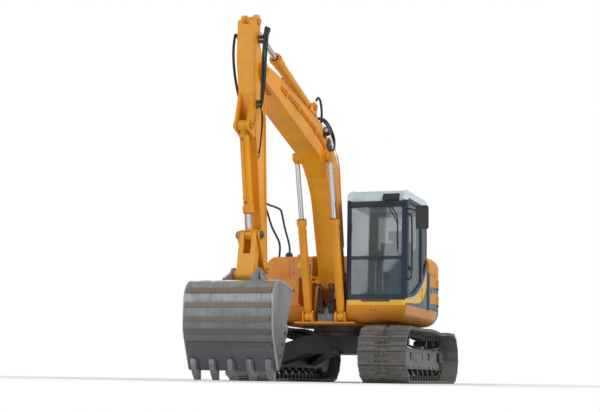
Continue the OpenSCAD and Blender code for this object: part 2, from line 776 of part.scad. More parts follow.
module door_window() {
  slab(cab_outer, 300) polygon(rounded([[door_front - 60, 1262, 40], [door_front - 60, 2630, 60],
    [door_rear + 55, 2630, 60], [door_rear + 55, 1515, 30], [850, 1335, 400]]));
}
// Roof hatch: rear, front, inner and outer edge
hatch = [cab_rear + 220, cab_front - 490, cab_inner + 190, cab_outer - 185];
hatch_height = 16;
hinge_line = [door_rear - 8, cab_outer + 15];
cab_hinge_z = [1300, 2420];
module cab_shell() {
  color("midnightblue") {
    difference() {
      cab_body(0);
      cab_body(cab_wall);
      fixed_windows();
      door_outline(0);
    }
    for (z = cab_hinge_z) fixed_knuckles(hinge_line, cab_outer, 1, z);
    translate([0, 0, cab_roof - 1]) linear_extrude(hatch_height + 1) polygon(rounded([
      [hatch[0], hatch[2], 60], [hatch[1], hatch[2], 60], [hatch[1], hatch[3], 60],
      [hatch[0], hatch[3], 60]]));
  }
}
module cab_glass() {
  color("lightblue", 0.5) intersection() {
    difference() {
      cab_body(20);
      cab_body(20 + glass);
    }
    fixed_windows();
  }
}
module cab_door() {
  color("gray") {
    difference() {
      intersection() {
        difference() {
          cab_body(0);
          cab_body(cab_wall - 5);
        }
        door_outline(panel_gap);
      }
      door_window();
    }
    for (z = cab_hinge_z) door_hinge(hinge_line, cab_outer, 1, z);
    block(door_front - 110, door_front - 30, cab_outer - 2, cab_outer + 30, 1640, 1680);
  }
}
module cab_door_glass() {
  color("lightblue", 0.5) intersection() {
    difference() {
      cab_body(20);
      cab_body(20 + glass);
    }
    door_window();
  }
}

seat_y = cab_mid;
cab_floor = crease_height + cab_wall;
module operator_seat() {
  color("dimgray") {
    block(180, 620, seat_y - 210, seat_y + 210, cab_floor, 1430);
    slab(seat_y, 500) polygon(rounded([[160, 1430, 20], [680, 1430, 40], [690, 1540, 50], [400, 1530, 0],
                                       [160, 1560, 20]]));
    slab(seat_y, 480) polygon(rounded([[100, 1545, 30], [240, 1545, 30], [150, 2150, 60], [20, 2150, 50]]));
    slab(seat_y, 260) polygon(rounded([[20, 2190, 30], [120, 2190, 30], [110, 2340, 40], [15, 2340, 40]]));
    slab(seat_y, 120) polygon([[40, 2140], [100, 2140], [95, 2200], [45, 2200]]);
  }
}
module control_stand() {
  color("dimgray") {
    for (s = [-1, 1]) {
      block(200, 760, seat_y + s * 315 - 60, seat_y + s * 315 + 60, cab_floor, 1640);
      bar([690, 1670], 34, seat_y + s * 315 - 34, seat_y + s * 315 + 34);
      translate([690, seat_y + s * 315, 1640]) cylinder(r = 12, h = 190, $fn = 24);
      translate([690, seat_y + s * 315, 1800]) cylinder(r = 26, h = 110, $fn = 32);
      translate([1130, seat_y + s * 55, cab_floor]) cylinder(r = 10, h = 580, $fn = 24);
      block(1060, 1180, seat_y + s * 55 - 40, seat_y + s * 55 + 40, cab_floor, cab_floor + 40);
    }
  }
}

module mirror() {
  color("black") {
    translate([1288, 0, 0]) rotate([90, 0, 90]) linear_extrude(30) polygon(rounded([
      [1375, 2215, 30], [1560, 2215, 30], [1560, 2560, 30], [1375, 2560, 30]], 4));
    tube([[grab_x, cab_outer, 2520], [grab_x, cab_outer + 20, 2520], [1290, 1310, 2510],
          [1303, 1380, 2480]], 11);
  }
}

// The boom is drawn at the digging pose and then raised; the arm and bucket move with its tip
module raised() {
  translate(foot) rotate(boom_raise) translate(-foot) children();
}
module hung() {
  translate(arm_shift) children();
}
function raise_point(p) = let (q = turn([p[0], p[2]], foot, boom_raise)) [q[0], p[1], q[1]];
function hang_point(p) = [p[0] + arm_shift[0], p[1], p[2] + arm_shift[1]];
function ray(a) = [cos(a), sin(a)];
// Flat link between two round ends; its sides run a hair inside the tangents and cut the circles cleanly
hair = 0.1;
module strap(p, rp, q, rq) {
  a = lean(p, q);
  b = acos((rp - rq) / norm(q - p));
  disc(p, rp);
  disc(q, rq);
  polygon([p + (rp - hair) * ray(a + b), q + (rq - hair) * ray(a + b), q + (rq - hair) * ray(a - b),
           p + (rp - hair) * ray(a - b)]);
}

// Lanes across the machine where the links run beside each other
arm_half = arm_width / 2;
fork_half = arm_half + side_gap;
foot_boss = boom_width / 2;
ram_boss = 196;
boom_eye_half = 48;
arm_eye_half = arm_barrel_radius;
arm_lug_y = arm_eye_half + side_gap + 16;
rod_eye_half = 45;
bucket_eye_half = bucket_barrel_radius;
bucket_lug_y = bucket_eye_half + side_gap + 16;
lug_thick = 32;
link_rod_half = 42;
tip_thick = 28;
tip_y = arm_half + 2 * side_gap + 4 + tip_thick / 2;
link_boss = tip_y + tip_thick / 2;
ear_thick = 30;
ear_y = link_boss + side_gap + ear_thick / 2;
tip_pin_radius = pin_radius + 7;

boom_profile = [[1040, 1445], [1825, 2962, 1300], [4680, 3265], [4600, 3490], [4120, 3520, 300],
                [2400, 3502, 700], [1433, 3227, 600], [765, 1565]];
module boom() {
  color("orange") {
    difference() {
      union() {
        slab(0, boom_width) raised() union() {
          polygon(rounded(boom_profile));
          disc(foot, 150);
          disc(tip_low, 115);
        }
        bar(boom_ram_eye, 95, -ram_boss, ram_boss);
        both(arm_lug_y, lug_thick) raised() union() {
          disc([2520, 3690], 75);
          polygon([[2330, 3480], [2450, 3718], [2585, 3728], [2800, 3480]]);
        }
      }
      slab(0, 2 * fork_half) raised() disc(tip_low, 450);
      bar(foot, foot_pin_radius + pin_gap, -big, big);
    }
    bar(boom_tip, tip_pin_radius, -foot_boss - 12, foot_boss + 12);
    bar(arm_ram_base, pin_radius, -arm_lug_y - lug_thick, arm_lug_y + lug_thick);
  }
}

// Hydraulic cylinders: an eye, a barrel with its gland, and a rod that slides in it
barrel_start = 105;
port_radius = 16;
port_height = 30;
side_pipe = 9;
// How far the gland collar at the mouth stands out from a barrel
collar = 14;
// Oil port standing on a barrel at a distance from its eye, on the side that way points to
module port(p, q, y, r, d, way) {
  c = p + unit(q - p) * d;
  translate([c[0], y, c[1]]) rotate([0, 90 - lean([0, 0], way), 0])
    cylinder(r = port_radius, h = r + port_height, $fn = 32);
}
module barrel(p, q, y, r, bore, reach, w) {
  u = unit(q - p);
  way = [-u[1], u[0]];
  off = way * (r + side_pipe + 6);
  color("orange") difference() {
    union() {
      for (d = [barrel_start + 60, reach - 140]) port(p, q, y, r, d, way);
      rod(p + off, q + off, y, side_pipe, barrel_start + 60, reach - 140);
      bar(p, pin_radius + 33, y - w, y + w);
      rod(p, q, y, r * 0.72, 45, barrel_start + 5);
      rod(p, q, y, r, barrel_start, reach);
      rod(p, q, y, r + collar, reach - 95, reach - 10);
      rod(p, q, y, r + collar / 2, reach - 205, reach - 180);
    }
    bar(p, pin_radius + pin_gap, y - w - 1, y + w + 1);
    rod(p, q, y, bore + pin_gap, barrel_start + 15, reach + 1);
  }
}
module piston(p, q, y, r, length, w) {
  color("silver") {
    rod(p, q, y, r, norm(q - p) - length, norm(q - p) - 40);
    bar(q, 64, y - w, y + w);
  }
}
boom_rod_length = 1550;
arm_rod_length = 1455;
bucket_rod_length = 1205;
module boom_barrels() {
  for (s = [-1, 1]) barrel(boom_ram_base, boom_ram_eye, s * boom_ram_y, boom_barrel_radius, boom_rod_radius,
                           boom_barrel_length, boom_eye_half);
}
module boom_rods() {
  for (s = [-1, 1]) piston(boom_ram_base, boom_ram_eye, s * boom_ram_y, boom_rod_radius, boom_rod_length,
                           boom_eye_half);
  color("silver") both(boom_ram_y + boom_eye_half + 5, 10) disc(boom_ram_eye, 34);
}
module arm_barrel() {
  barrel(arm_ram_base, arm_ram_eye, 0, arm_barrel_radius, arm_rod_radius, arm_barrel_length, arm_eye_half);
}
module arm_rod() {
  piston(arm_ram_base, arm_ram_eye, 0, arm_rod_radius, arm_rod_length, rod_eye_half);
}
module bucket_barrel() {
  barrel(bucket_ram_base, bucket_ram_eye, 0, bucket_barrel_radius, bucket_rod_radius, bucket_barrel_length,
         bucket_eye_half);
}
module bucket_rod() {
  piston(bucket_ram_base, bucket_ram_eye, 0, bucket_rod_radius, bucket_rod_length, link_rod_half);
}

arm_profile = [[5058, 3985, 30], [5070, 3480, 200], [4920, 2750, 300], [4780, 2150], [4600, 1300],
               [4510, 620, 40], [4325, 600, 40], [4400, 1400], [4440, 1830], [4530, 2840], [4590, 3380],
               [4690, 3560, 100], [4800, 3750], [4790, 3985]];
bucket_pin_low = bucket_pin - arm_shift;
arm_eye_low = arm_ram_eye - arm_shift;
bucket_base_low = bucket_ram_base - arm_shift;
tipping_low = tipping_pin - arm_shift;
link_low = link_pin - arm_shift;
module arm() {
  color("orange") {
    difference() {
      union() {
        slab(0, arm_width) hung() union() {
          polygon(rounded(arm_profile));
          disc(arm_eye_low, 88);
        }
        both(bucket_lug_y, lug_thick) hung() union() {
          disc(bucket_base_low, 85);
          polygon([[4940, 3080], [4990, 3080], [5110, 2690], [5050, 2560], [4900, 2500], [4850, 2560]]);
        }
        bar(bucket_pin, 80, -link_boss, link_boss);
        bar(tipping_pin, 60, -tip_y + tip_thick / 2 + side_gap, tip_y - tip_thick / 2 - side_gap);
      }
      slab(0, 2 * (rod_eye_half + side_gap)) hung()
        polygon([[4600, 3820], [5010, 3820], [5010, 3925], [5100, 3925], [5100, 4200], [4600, 4200]]);
      bar(boom_tip, tip_pin_radius + pin_gap, -big, big);
      bar(bucket_pin, pin_radius + pin_gap, -big, big);
    }
    bar(tipping_pin, pin_radius, -link_boss - 10, link_boss + 10);
    bar(bucket_ram_base, pin_radius, -bucket_lug_y - lug_thick, bucket_lug_y + lug_thick);
    both(arm_half + 6, 12) disc(arm_ram_eye, 46);
  }
}

module tipping_links() {
  color("orange") difference() {
    union() {
      both(tip_y, tip_thick) strap(tipping_pin, 60, bucket_ram_eye, 58);
      both(tip_y + 2, tip_thick + 4) disc(bucket_ram_eye, 40);
    }
    bar(tipping_pin, pin_radius + pin_gap, -big, big);
  }
}

module bucket_link() {
  color("orange") difference() {
    union() {
      slab(0, 2 * (tip_y - tip_thick / 2 - 8)) strap(bucket_ram_eye, 66, link_pin, 75);
      bar(link_pin, 70, -link_boss, link_boss);
    }
    slab(0, 2 * (link_rod_half + 8)) disc(bucket_ram_eye, 265);
    bar(link_pin, pin_radius + pin_gap, -big, big);
  }
}

bucket_profile = [[4700, 560], [4760, 650, 60], [5440, 760, 260], [5450, 100, 500], [5215, -370]];
lip = bucket_profile[4];
mouth_top = bucket_profile[0];
lip_way = unit(lip - flat(bucket_profile[3]));
side_plate = 22;
// The bucket's outline pushed in by a distance and run out past its mouth
module bucket_hollow(depth) {
  past_top = mouth_top + 100 * unit(mouth_top - flat(bucket_profile[1]));
  past_lip = lip + 100 * lip_way;
  polygon(rounded(inset([past_top, bucket_profile[1], bucket_profile[2], bucket_profile[3],
                         past_lip], depth)));
}
// Wear strips across the back: the lower edge of each, its height and how far it stands out
wear_z = [550, 370, 200, 50, -100];
wear_height = 60;
wear_thick = 14;
module wear_strips() {
  slab(0, bucket_width - 2 * side_plate) hung() intersection() {
    difference() {
      polygon(rounded(inset(bucket_profile, -wear_thick)));
      polygon(rounded(inset(bucket_profile, bucket_sheet / 4)));
    }
    union() {
      for (z = wear_z) translate([5200, z]) square([400, wear_height]);
    }
  }
}
module bucket() {
  color("gray") {
    wear_strips();
    slab(0, bucket_width - 2 * side_plate) hung() difference() {
      polygon(rounded(bucket_profile));
      bucket_hollow(bucket_sheet);
    }
    both(bucket_width / 2 - side_plate / 2, side_plate) hung() polygon(rounded(bucket_profile));
    both(bucket_width / 2 - 16, 32) hung()
      polygon([[5190, -310], [4925, 170], [4850, 185], [4865, 110], [5120, -350]]);
    both(ear_y, ear_thick) hung() union() {
      strap(bucket_pin_low, 100, link_low, 95);
      polygon([[4440, 500], [4745, 606], [4775, 640], [5150, 700], [5170, 740], [4890, 850], [4700, 800]]);
    }
    bar(bucket_pin, pin_radius, -ear_y - ear_thick, ear_y + ear_thick);
    bar(link_pin, pin_radius, -ear_y - ear_thick, ear_y + ear_thick);
  }
}

tooth_width = 84;
// One tooth along the lip's direction, outwards to the back
tooth_outline = [[-150, -6], [-130, 30], [-30, 44], [30, 34], [128, 6], [128, -8], [30, -52], [-30, -66],
                 [-100, -58], [-112, -30]];
module bucket_teeth() {
  spread = bucket_width - 2 * side_plate - tooth_width - 40;
  back_way = [-lip_way[1], lip_way[0]];
  color("dimgray") for (i = [0 : tooth_count - 1])
    slab(-spread / 2 + spread * i / (tooth_count - 1), tooth_width) hung() difference() {
      polygon([for (q = tooth_outline) lip + q[0] * lip_way + q[1] * back_way]);
      difference() {
        polygon(rounded(bucket_profile));
        bucket_hollow(bucket_sheet);
      }
    }
}

hose_radius = 17;
pipe_radius = 12;
pipe_seat = 0.1;
pipe_route = [[1060, 1760], [1330, 2400], [1700, 2950], [2100, 3215], [2600, 3330], [3400, 3390],
              [4120, 3410]];
module boom_hoses() {
  color("black") for (s = [-1, 1]) for (drop = [0, 1]) tube([for (p = pipe_route)
    raise_point([p[0] + drop * 20, s * (foot_boss + pipe_radius + pipe_seat), p[1] - drop * 36])],
    pipe_radius, 4, 8);
}
hose_foot = arm_half + 0.4;
module arm_hoses() {
  color("black") {
    for (k = [0, 1]) tube([for (p = [[4850, hose_foot, 3800 - 60 * k], [4850, 135, 3800 - 60 * k],
      [4850, 165, 3800 - 60 * k], [4870, 210 + 36 * k, 3900 - 40 * k], [4960, 230 + 36 * k, 3850],
      [5010, 225 + 36 * k, 3500], [4960, 200 + 30 * k, 3150], [4880, 165, 2960 - 60 * k],
      [4880, 135, 2960 - 60 * k], [4880, hose_foot, 2960 - 60 * k]]) hang_point(p)], hose_radius, 4, 10);
    tube([for (p = [[4850, -hose_foot, 3780], [4850, -135, 3780], [4850, -165, 3780], [4870, -205, 3850],
      [4900, -215, 3600], [4860, -200, 3300], [4800, -165, 3060], [4800, -135, 3060],
      [4800, -hose_foot, 3060]]) hang_point(p)], hose_radius, 4, 10);
  }
}

module work_lamp() {
  color("silver") {
    slab(foot_boss + 8, 16) raised() translate([2120, 3350]) square([120, 40]);
    slab(foot_boss + 30, 60) raised() translate([2150, 3375]) square([80, 14]);
    slab(foot_boss + 50, 90) raised() polygon(rounded([[2140, 3389, 12], [2250, 3389, 12], [2250, 3479, 12],
                                                       [2160, 3479, 30]]));
  }
}

car_body();
swing_ring();
track_frames();
track_left();
track_right();
idlers();
sprockets();
track_rollers();
revolving_frame();
belly_skirts();
counterweight();
engine_block();
rear_housing();
engine_hood();
side_door_left();
side_door_right();
right_housing();
toolbox();
toolbox_lid();
exhaust_stack();
handrail();
cab_shell();
cab_glass();
cab_door();
cab_door_glass();
operator_seat();
control_stand();
mirror();
boom();
boom_hoses();
work_lamp();
boom_barrels();
boom_rods();
arm_barrel();
arm_rod();
arm();
arm_hoses();
bucket_barrel();
bucket_rod();
tipping_links();
bucket_link();
bucket();
bucket_teeth();
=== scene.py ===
from math import atan, atan2, cos, hypot, pi, radians, sin, sqrt, tan
import bmesh
import bpy
from mathutils import Matrix, Vector


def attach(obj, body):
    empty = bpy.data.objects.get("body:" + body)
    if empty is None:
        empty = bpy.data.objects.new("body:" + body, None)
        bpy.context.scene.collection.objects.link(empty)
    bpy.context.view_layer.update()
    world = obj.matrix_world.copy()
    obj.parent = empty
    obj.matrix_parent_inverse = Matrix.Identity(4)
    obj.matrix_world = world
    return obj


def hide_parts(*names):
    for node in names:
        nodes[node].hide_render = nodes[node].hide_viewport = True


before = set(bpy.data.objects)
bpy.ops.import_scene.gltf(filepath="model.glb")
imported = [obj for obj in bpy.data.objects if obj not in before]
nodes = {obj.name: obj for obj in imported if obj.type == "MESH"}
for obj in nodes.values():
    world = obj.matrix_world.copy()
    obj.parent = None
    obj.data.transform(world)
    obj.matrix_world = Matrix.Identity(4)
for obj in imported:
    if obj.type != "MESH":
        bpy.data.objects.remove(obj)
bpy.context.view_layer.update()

MM = 0.001
scene = bpy.context.scene


def link(o):
    scene.collection.objects.link(o)
    return o


# Camera and light
def aim(yaw, pitch, roll):
    """Camera turn for a view towards -X, turned by yaw to -Y and by pitch upwards."""
    way = Vector((-cos(yaw) * cos(pitch), -sin(yaw) * cos(pitch), sin(pitch)))
    return (way.to_track_quat("-Z", "Y").to_matrix() @ Matrix.Rotation(roll, 3, "Z")).to_euler()


camera = link(bpy.data.objects.new("camera", bpy.data.cameras.new("camera")))
camera.location = (19.21, 5.5665, 0.075)
camera.data.lens = 76.5
camera.data.sensor_width = 36
camera.rotation_euler = aim(0.3215, 0.1330, 0.0164)
scene.camera = camera
scene.view_settings.view_transform = "Standard"


def area_light(name, place, target, size, power, colour):
    light = link(bpy.data.objects.new(name, bpy.data.lights.new(name, "AREA")))
    light.data.shape = "DISK"
    light.data.size = size
    light.data.energy = power
    light.data.color = colour
    light.location = place
    light.rotation_euler = (Vector(target) - Vector(place)).to_track_quat("-Z", "Y").to_euler()


area_light("key", (6, 11, 12), (0.8, 0, 1.6), 7, 1050, (1, 0.985, 0.96))
area_light("fill", (14, -5, 5), (1, 0, 1.8), 7, 330, (0.93, 0.97, 1))
area_light("rim", (-9, -6, 9), (0, 0, 1.8), 6, 400, (1, 1, 1))


# Materials
def fill(tree, n, **sockets):
    """Sets inputs by name, or by number as i0, i1 and so on; a socket as the value is linked."""
    for key, value in sockets.items():
        by_number = key[0] == "i" and key[1:].isdigit()
        s = n.inputs[int(key[1:])] if by_number else n.inputs[key.replace("_", " ")]
        if isinstance(value, bpy.types.NodeSocket):
            tree.links.new(value, s)
        else:
            s.default_value = value
    return n


def new_node(tree, kind, options=None, **sockets):
    n = tree.nodes.new("ShaderNode" + kind)
    for key, value in (options or {}).items():
        setattr(n, key, value)
    return fill(tree, n, **sockets)


def maths(tree, how, a, b, clamp=False):
    return new_node(tree, "Math", {"operation": how, "use_clamp": clamp}, i0=a, i1=b).outputs[0]


def times(tree, first, *others):
    for value in others:
        first = maths(tree, "MULTIPLY", first, value)
    return first


def above(tree, value, edge):
    return maths(tree, "GREATER_THAN", value, edge)


def below(tree, value, edge):
    return maths(tree, "LESS_THAN", value, edge)


def within(tree, value, low, high):
    return times(tree, above(tree, value, low), below(tree, value, high))


def blend_colour(tree, amount, a, b):
    a, b = [(*c, 1) if isinstance(c, tuple) else c for c in (a, b)]
    options = {"data_type": "RGBA", "blend_type": "MIX", "clamp_factor": True}
    return new_node(tree, "Mix", options, i0=amount, i6=a, i7=b).outputs[2]


def noise(tree, place, scale, detail=4.0, rough=0.55, stretch=None):
    if stretch:
        place = new_node(tree, "Mapping", Vector=place, Scale=stretch).outputs[0]
    return new_node(tree, "TexNoise", Vector=place, Scale=scale, Detail=detail, Roughness=rough).outputs[0]


def ramp(tree, value, low, high, a=0.0, b=1.0):
    n = new_node(tree, "MapRange", Value=value, From_Min=low, From_Max=high, To_Min=a, To_Max=b)
    return n.outputs[0]


def start_material(name):
    m = bpy.data.materials.new(name)
    m.use_nodes = True
    tree = m.node_tree
    place = new_node(tree, "TexCoord").outputs["Object"]
    xyz = new_node(tree, "SeparateXYZ", i0=place).outputs
    return m, tree, tree.nodes["Principled BSDF"], place, xyz


def finish_material(tree, shader, place, colour, rough, bump_size, bump, spread, metal, coat=0.0):
    grain = noise(tree, place, bump_size, 3.0)
    worn = ramp(tree, noise(tree, place, 5.0), 0.3, 0.7, rough - spread, rough + spread)
    normal = new_node(tree, "Bump", Strength=bump, Distance=0.002, Height=grain).outputs[0]
    fill(tree, shader, Base_Color=colour, Roughness=worn, Metallic=metal, Coat_Weight=coat,
         Coat_Roughness=0.12, Normal=normal)


def darker(colour, share):
    return tuple(c * share for c in colour)


def add_zones(tree, base, xyz, zones):
    """A zone is (mask function of the tree and the x, y and z sockets, colour)."""
    for mask, shade in zones:
        base = blend_colour(tree, mask(tree, *xyz), base, shade)
    return base


DUST = (0.36, 0.31, 0.24)
RUST = (0.16, 0.085, 0.04)


def paint(name, colour, dust=0.35, dust_top=1.1, rough=0.36, coat=0.1, zones=(), grime=0.25):
    """Machine paint: soft shade changes, run-off streaks, and dust that thins out upwards."""
    m, tree, shader, place, xyz = start_material(name)
    base = blend_colour(tree, ramp(tree, noise(tree, place, 1.7), 0.35, 0.7), colour, darker(colour, 0.82))
    base = add_zones(tree, base, xyz, zones)
    streak = noise(tree, place, 9.0, 5.0, 0.6, (1.0, 1.0, 0.08))
    base = blend_colour(tree, ramp(tree, streak, 0.56, 0.78, 0.0, grime), base, darker(colour, 0.45))
    speck = ramp(tree, noise(tree, place, 34.0, 6.0, 0.7), 0.5, 0.75)
    fall = ramp(tree, xyz[2], dust_top, 0.15)
    amount = times(tree, maths(tree, "ADD", times(tree, speck, 0.6), 0.4), fall, dust)
    base = blend_colour(tree, amount, base, DUST)
    chips = ramp(tree, noise(tree, place, 75.0, 2.0), 0.735, 0.75, 0.0, 0.5)
    base = blend_colour(tree, chips, base, (0.10, 0.07, 0.05))
    finish_material(tree, shader, place, base, rough, 160.0, 0.12, 0.08, 0.0, coat)
    fill(tree, shader, Specular_IOR_Level=0.3)
    return m


def steel(name, colour, worn, rust=0.2, metal=0.5, rough=0.45, dust=0.3, stretch=(1.0, 1.0, 0.15), zones=()):
    """Bare steel: shade changes, scratches, rust spots and dust."""
    m, tree, shader, place, xyz = start_material(name)
    base = blend_colour(tree, ramp(tree, noise(tree, place, 3.0, 6.0, 0.65), 0.35, 0.68), colour, worn)
    scratch = ramp(tree, noise(tree, place, 26.0, 4.0, 0.6, stretch), 0.45, 0.7, 0.0, 0.55)
    base = blend_colour(tree, scratch, base, darker(colour, 0.55))
    spots = ramp(tree, noise(tree, place, 7.0, 6.0, 0.7), 0.58, 0.8, 0.0, rust)
    base = blend_colour(tree, spots, base, RUST)
    fall = ramp(tree, xyz[2], 1.2, 0.1, 0.1, 1.0)
    speck = ramp(tree, noise(tree, place, 18.0, 6.0, 0.7), 0.42, 0.7)
    base = blend_colour(tree, times(tree, speck, fall, dust), base, DUST)
    base = add_zones(tree, base, xyz, zones)
    finish_material(tree, shader, place, base, rough, 60.0, 0.5, 0.1, metal)
    return m


def simple(name, colour, rough=0.5, metal=0.0, scale=14.0, vary=0.25, bump=0.15, bump_size=220.0, coat=0.0):
    m, tree, shader, place, xyz = start_material(name)
    other = tuple(min(1, c * (1 - vary) + 0.02 * vary) for c in colour)
    base = blend_colour(tree, ramp(tree, noise(tree, place, scale, 5.0), 0.35, 0.7), colour, other)
    finish_material(tree, shader, place, base, rough, bump_size, bump, 0.06, metal, coat)
    return m


def pane(name, colour, alpha, roof_alpha=0.0):
    """Glass; the part over the roof edge may be milkier."""
    m, tree, shader, place, xyz = start_material(name)
    smear = noise(tree, place, 2.5, 5.0, 0.6, (1.0, 1.0, 0.4))
    pale = tuple(min(1, c * 1.6 + 0.02) for c in colour)
    base = blend_colour(tree, ramp(tree, smear, 0.3, 0.8), colour, pale)
    roof = times(tree, above(tree, xyz[2], 2.575), 1.0 if roof_alpha else 0.0)
    base = blend_colour(tree, roof, base, (0.56, 0.72, 0.70))
    solid = ramp(tree, smear, 0.3, 0.8, alpha * 0.85, alpha * 1.2)
    fill(tree, shader, Base_Color=base, Alpha=maths(tree, "ADD", solid, times(tree, roof, roof_alpha)),
         Roughness=0.04, Specular_IOR_Level=0.9, Coat_Weight=0.6, Coat_Roughness=0.03)
    return m


ORANGE = (0.84, 0.305, 0.010)
GOLD = (0.86, 0.50, 0.055)
SLATE = (0.11, 0.15, 0.175)
NAVY = (0.022, 0.032, 0.065)
SILVER = (0.46, 0.53, 0.56)
# Places with y over this, in metres, are on the machine's left face
LEFT_FACE = 1.2
CAB_FRONT, CAB_LENGTH = 1330, 1460
# Lines on the cab's side: height at the front, slope, rise and power, over the cab's length
GOLD_LINE, DARK_LINE = (1215, 70, 565, 2.6), (1150, 60, 540, 6)


def rear_bands(tree, x, y, z):
    """Two grey bands round the side of the housing."""
    both = maths(tree, "ADD", within(tree, z, 1.41, 1.50), within(tree, z, 0.9, 1.235), True)
    return times(tree, both, below(tree, x, -0.03))


def below_line(tree, x, y, z, start, slope, rise, power):
    """Left side of the cab below a line that climbs to the rear."""
    t = maths(tree, "DIVIDE", maths(tree, "SUBTRACT", CAB_FRONT * MM, x), CAB_LENGTH * MM)
    t = maths(tree, "MAXIMUM", t, 0)
    climb = times(tree, maths(tree, "POWER", t, power), rise * MM)
    edge = maths(tree, "ADD", maths(tree, "ADD", times(tree, t, slope * MM), start * MM), climb)
    side = times(tree, above(tree, y, LEFT_FACE), below(tree, x, 1.31))
    return times(tree, below(tree, z, edge), side)


def gold_sweep(tree, x, y, z):
    return below_line(tree, x, y, z, *GOLD_LINE)


def dark_sweep(tree, x, y, z):
    return below_line(tree, x, y, z, *DARK_LINE)


def cab_rear_side(tree, x, y, z):
    return times(tree, below(tree, x, -0.02), above(tree, y, LEFT_FACE))


def cab_roof(tree, x, y, z):
    return above(tree, z, 2.655)


def cab_nose(tree, x, y, z):
    return times(tree, within(tree, z, 1.0, 1.195), above(tree, x, 1.2))


def housing_corner(tree, x, y, z):
    """Dark field on the housing behind the cab."""
    return times(tree, below(tree, z, 1.70), above(tree, x, -0.25), above(tree, y, LEFT_FACE))


def wear_bands(tree, x, y, z):
    """The five wear strips across the bucket's back."""
    bands = 0.0
    for low in (0.401, 0.551, 0.701, 0.871, 1.051):
        bands = maths(tree, "ADD", within(tree, z, low, low + 0.06), bands)
    return times(tree, bands, times(tree, above(tree, x, 4.75), within(tree, y, -0.55, 0.55)))


# Painted shade: the bucket's back grows darker towards the bottom, where it faces down into shade.
def bucket_painted_shade(tree, x, y, z):
    return ramp(tree, z, 1.0, 0.35, 0.0, 0.85)


orange = paint("orange_paint", ORANGE)
body_paint = paint("body_paint", ORANGE, zones=[(rear_bands, SLATE), (housing_corner, SLATE)], dust=0.3)
weight_paint = paint("weight_paint", ORANGE, zones=[(rear_bands, SLATE)], dust=0.3)
arm_paint = paint("arm_paint", (0.85, 0.335, 0.010), dust=0.2)
belly_paint = paint("belly_paint", (0.76, 0.27, 0.012), dust=0.3, dust_top=1.3)
cab_frame_paint = paint("cab_frame_paint", NAVY, dust=0.12, grime=0.1, zones=[
    (cab_nose, GOLD), (cab_rear_side, SILVER), (cab_roof, (0.66, 0.74, 0.77)), (gold_sweep, GOLD),
    (dark_sweep, SLATE)])
door_paint = paint("door_paint", NAVY, dust=0.1, grime=0.1, zones=[(gold_sweep, GOLD), (dark_sweep, SLATE)])
frame_paint = paint("frame_paint", (0.045, 0.05, 0.058), dust=0.45, dust_top=0.9, rough=0.5, coat=0.0)
track_frame_paint = paint("track_frame_paint", (0.13, 0.145, 0.16), dust=0.75, dust_top=0.75,
                          rough=0.55, coat=0.0)
track_steel = steel("track_steel", (0.15, 0.145, 0.14), (0.23, 0.215, 0.195), rust=0.25, dust=0.55,
                    metal=0.25, rough=0.55, stretch=(1.0, 0.2, 1.0))
wheel_steel = steel("wheel_steel", (0.07, 0.068, 0.066), (0.12, 0.11, 0.10), rust=0.3, dust=0.5, metal=0.3)
# The bucket's last zone is painted shade, darkening the lower part of its back.
bucket_steel = steel("bucket_steel", (0.235, 0.235, 0.225), (0.34, 0.34, 0.33), rust=0.10, dust=0.22,
                     metal=0.3, stretch=(0.6, 1.0, 0.12),
                     zones=[(wear_bands, (0.20, 0.15, 0.095)), (bucket_painted_shade, (0.07, 0.073, 0.08))])
rim_steel = steel("rim_steel", (0.33, 0.33, 0.33), (0.43, 0.43, 0.43), rust=0.08, dust=0.15, metal=0.3)
tooth_steel = steel("tooth_steel", (0.16, 0.16, 0.17), (0.34, 0.34, 0.35), dust=0.4)
pin_steel = steel("pin_steel", (0.09, 0.09, 0.1), (0.2, 0.2, 0.21), rust=0.3, dust=0.2, metal=0.6)
chrome = simple("chrome", (0.72, 0.74, 0.76), 0.13, 1.0, 20.0, 0.08, 0.03)
rubber = simple("rubber", (0.016, 0.017, 0.02), 0.5, 0.0, 30.0, 0.3, 0.3)
plastic = simple("plastic", (0.022, 0.024, 0.028), 0.45, 0.0, 30.0, 0.3, 0.25, 400.0)
grey_plastic = simple("grey_plastic", (0.10, 0.105, 0.11), 0.5, 0.0, 30.0, 0.3, 0.25, 400.0)
glass = pane("glass", (0.055, 0.095, 0.115), 0.42, 0.5)
door_glass = pane("door_glass", (0.09, 0.14, 0.135), 0.42)
silver_trim = simple("silver_trim", (0.50, 0.56, 0.60), 0.25, 0.3, 20.0, 0.1, 0.05)
screen = simple("screen", (0.012, 0.02, 0.024), 0.12, 0.0, 12.0, 0.3, 0.02, coat=0.5)
lens = simple("lens", (0.62, 0.66, 0.68), 0.12, 0.2, 90.0, 0.25, 0.3, 60.0, 0.6)
yellow_label = simple("yellow_label", (0.80, 0.60, 0.04), 0.45, 0.0, 25.0, 0.12, 0.05)
cream = simple("cream_label", (0.62, 0.55, 0.38), 0.45, 0.0, 25.0, 0.15, 0.05)
lamp_metal = simple("lamp_metal", (0.05, 0.05, 0.055), 0.4, 0.3)
cloth = simple("cloth", (0.07, 0.075, 0.085), 0.85, 0.0, 60.0, 0.4, 0.6, 300.0)

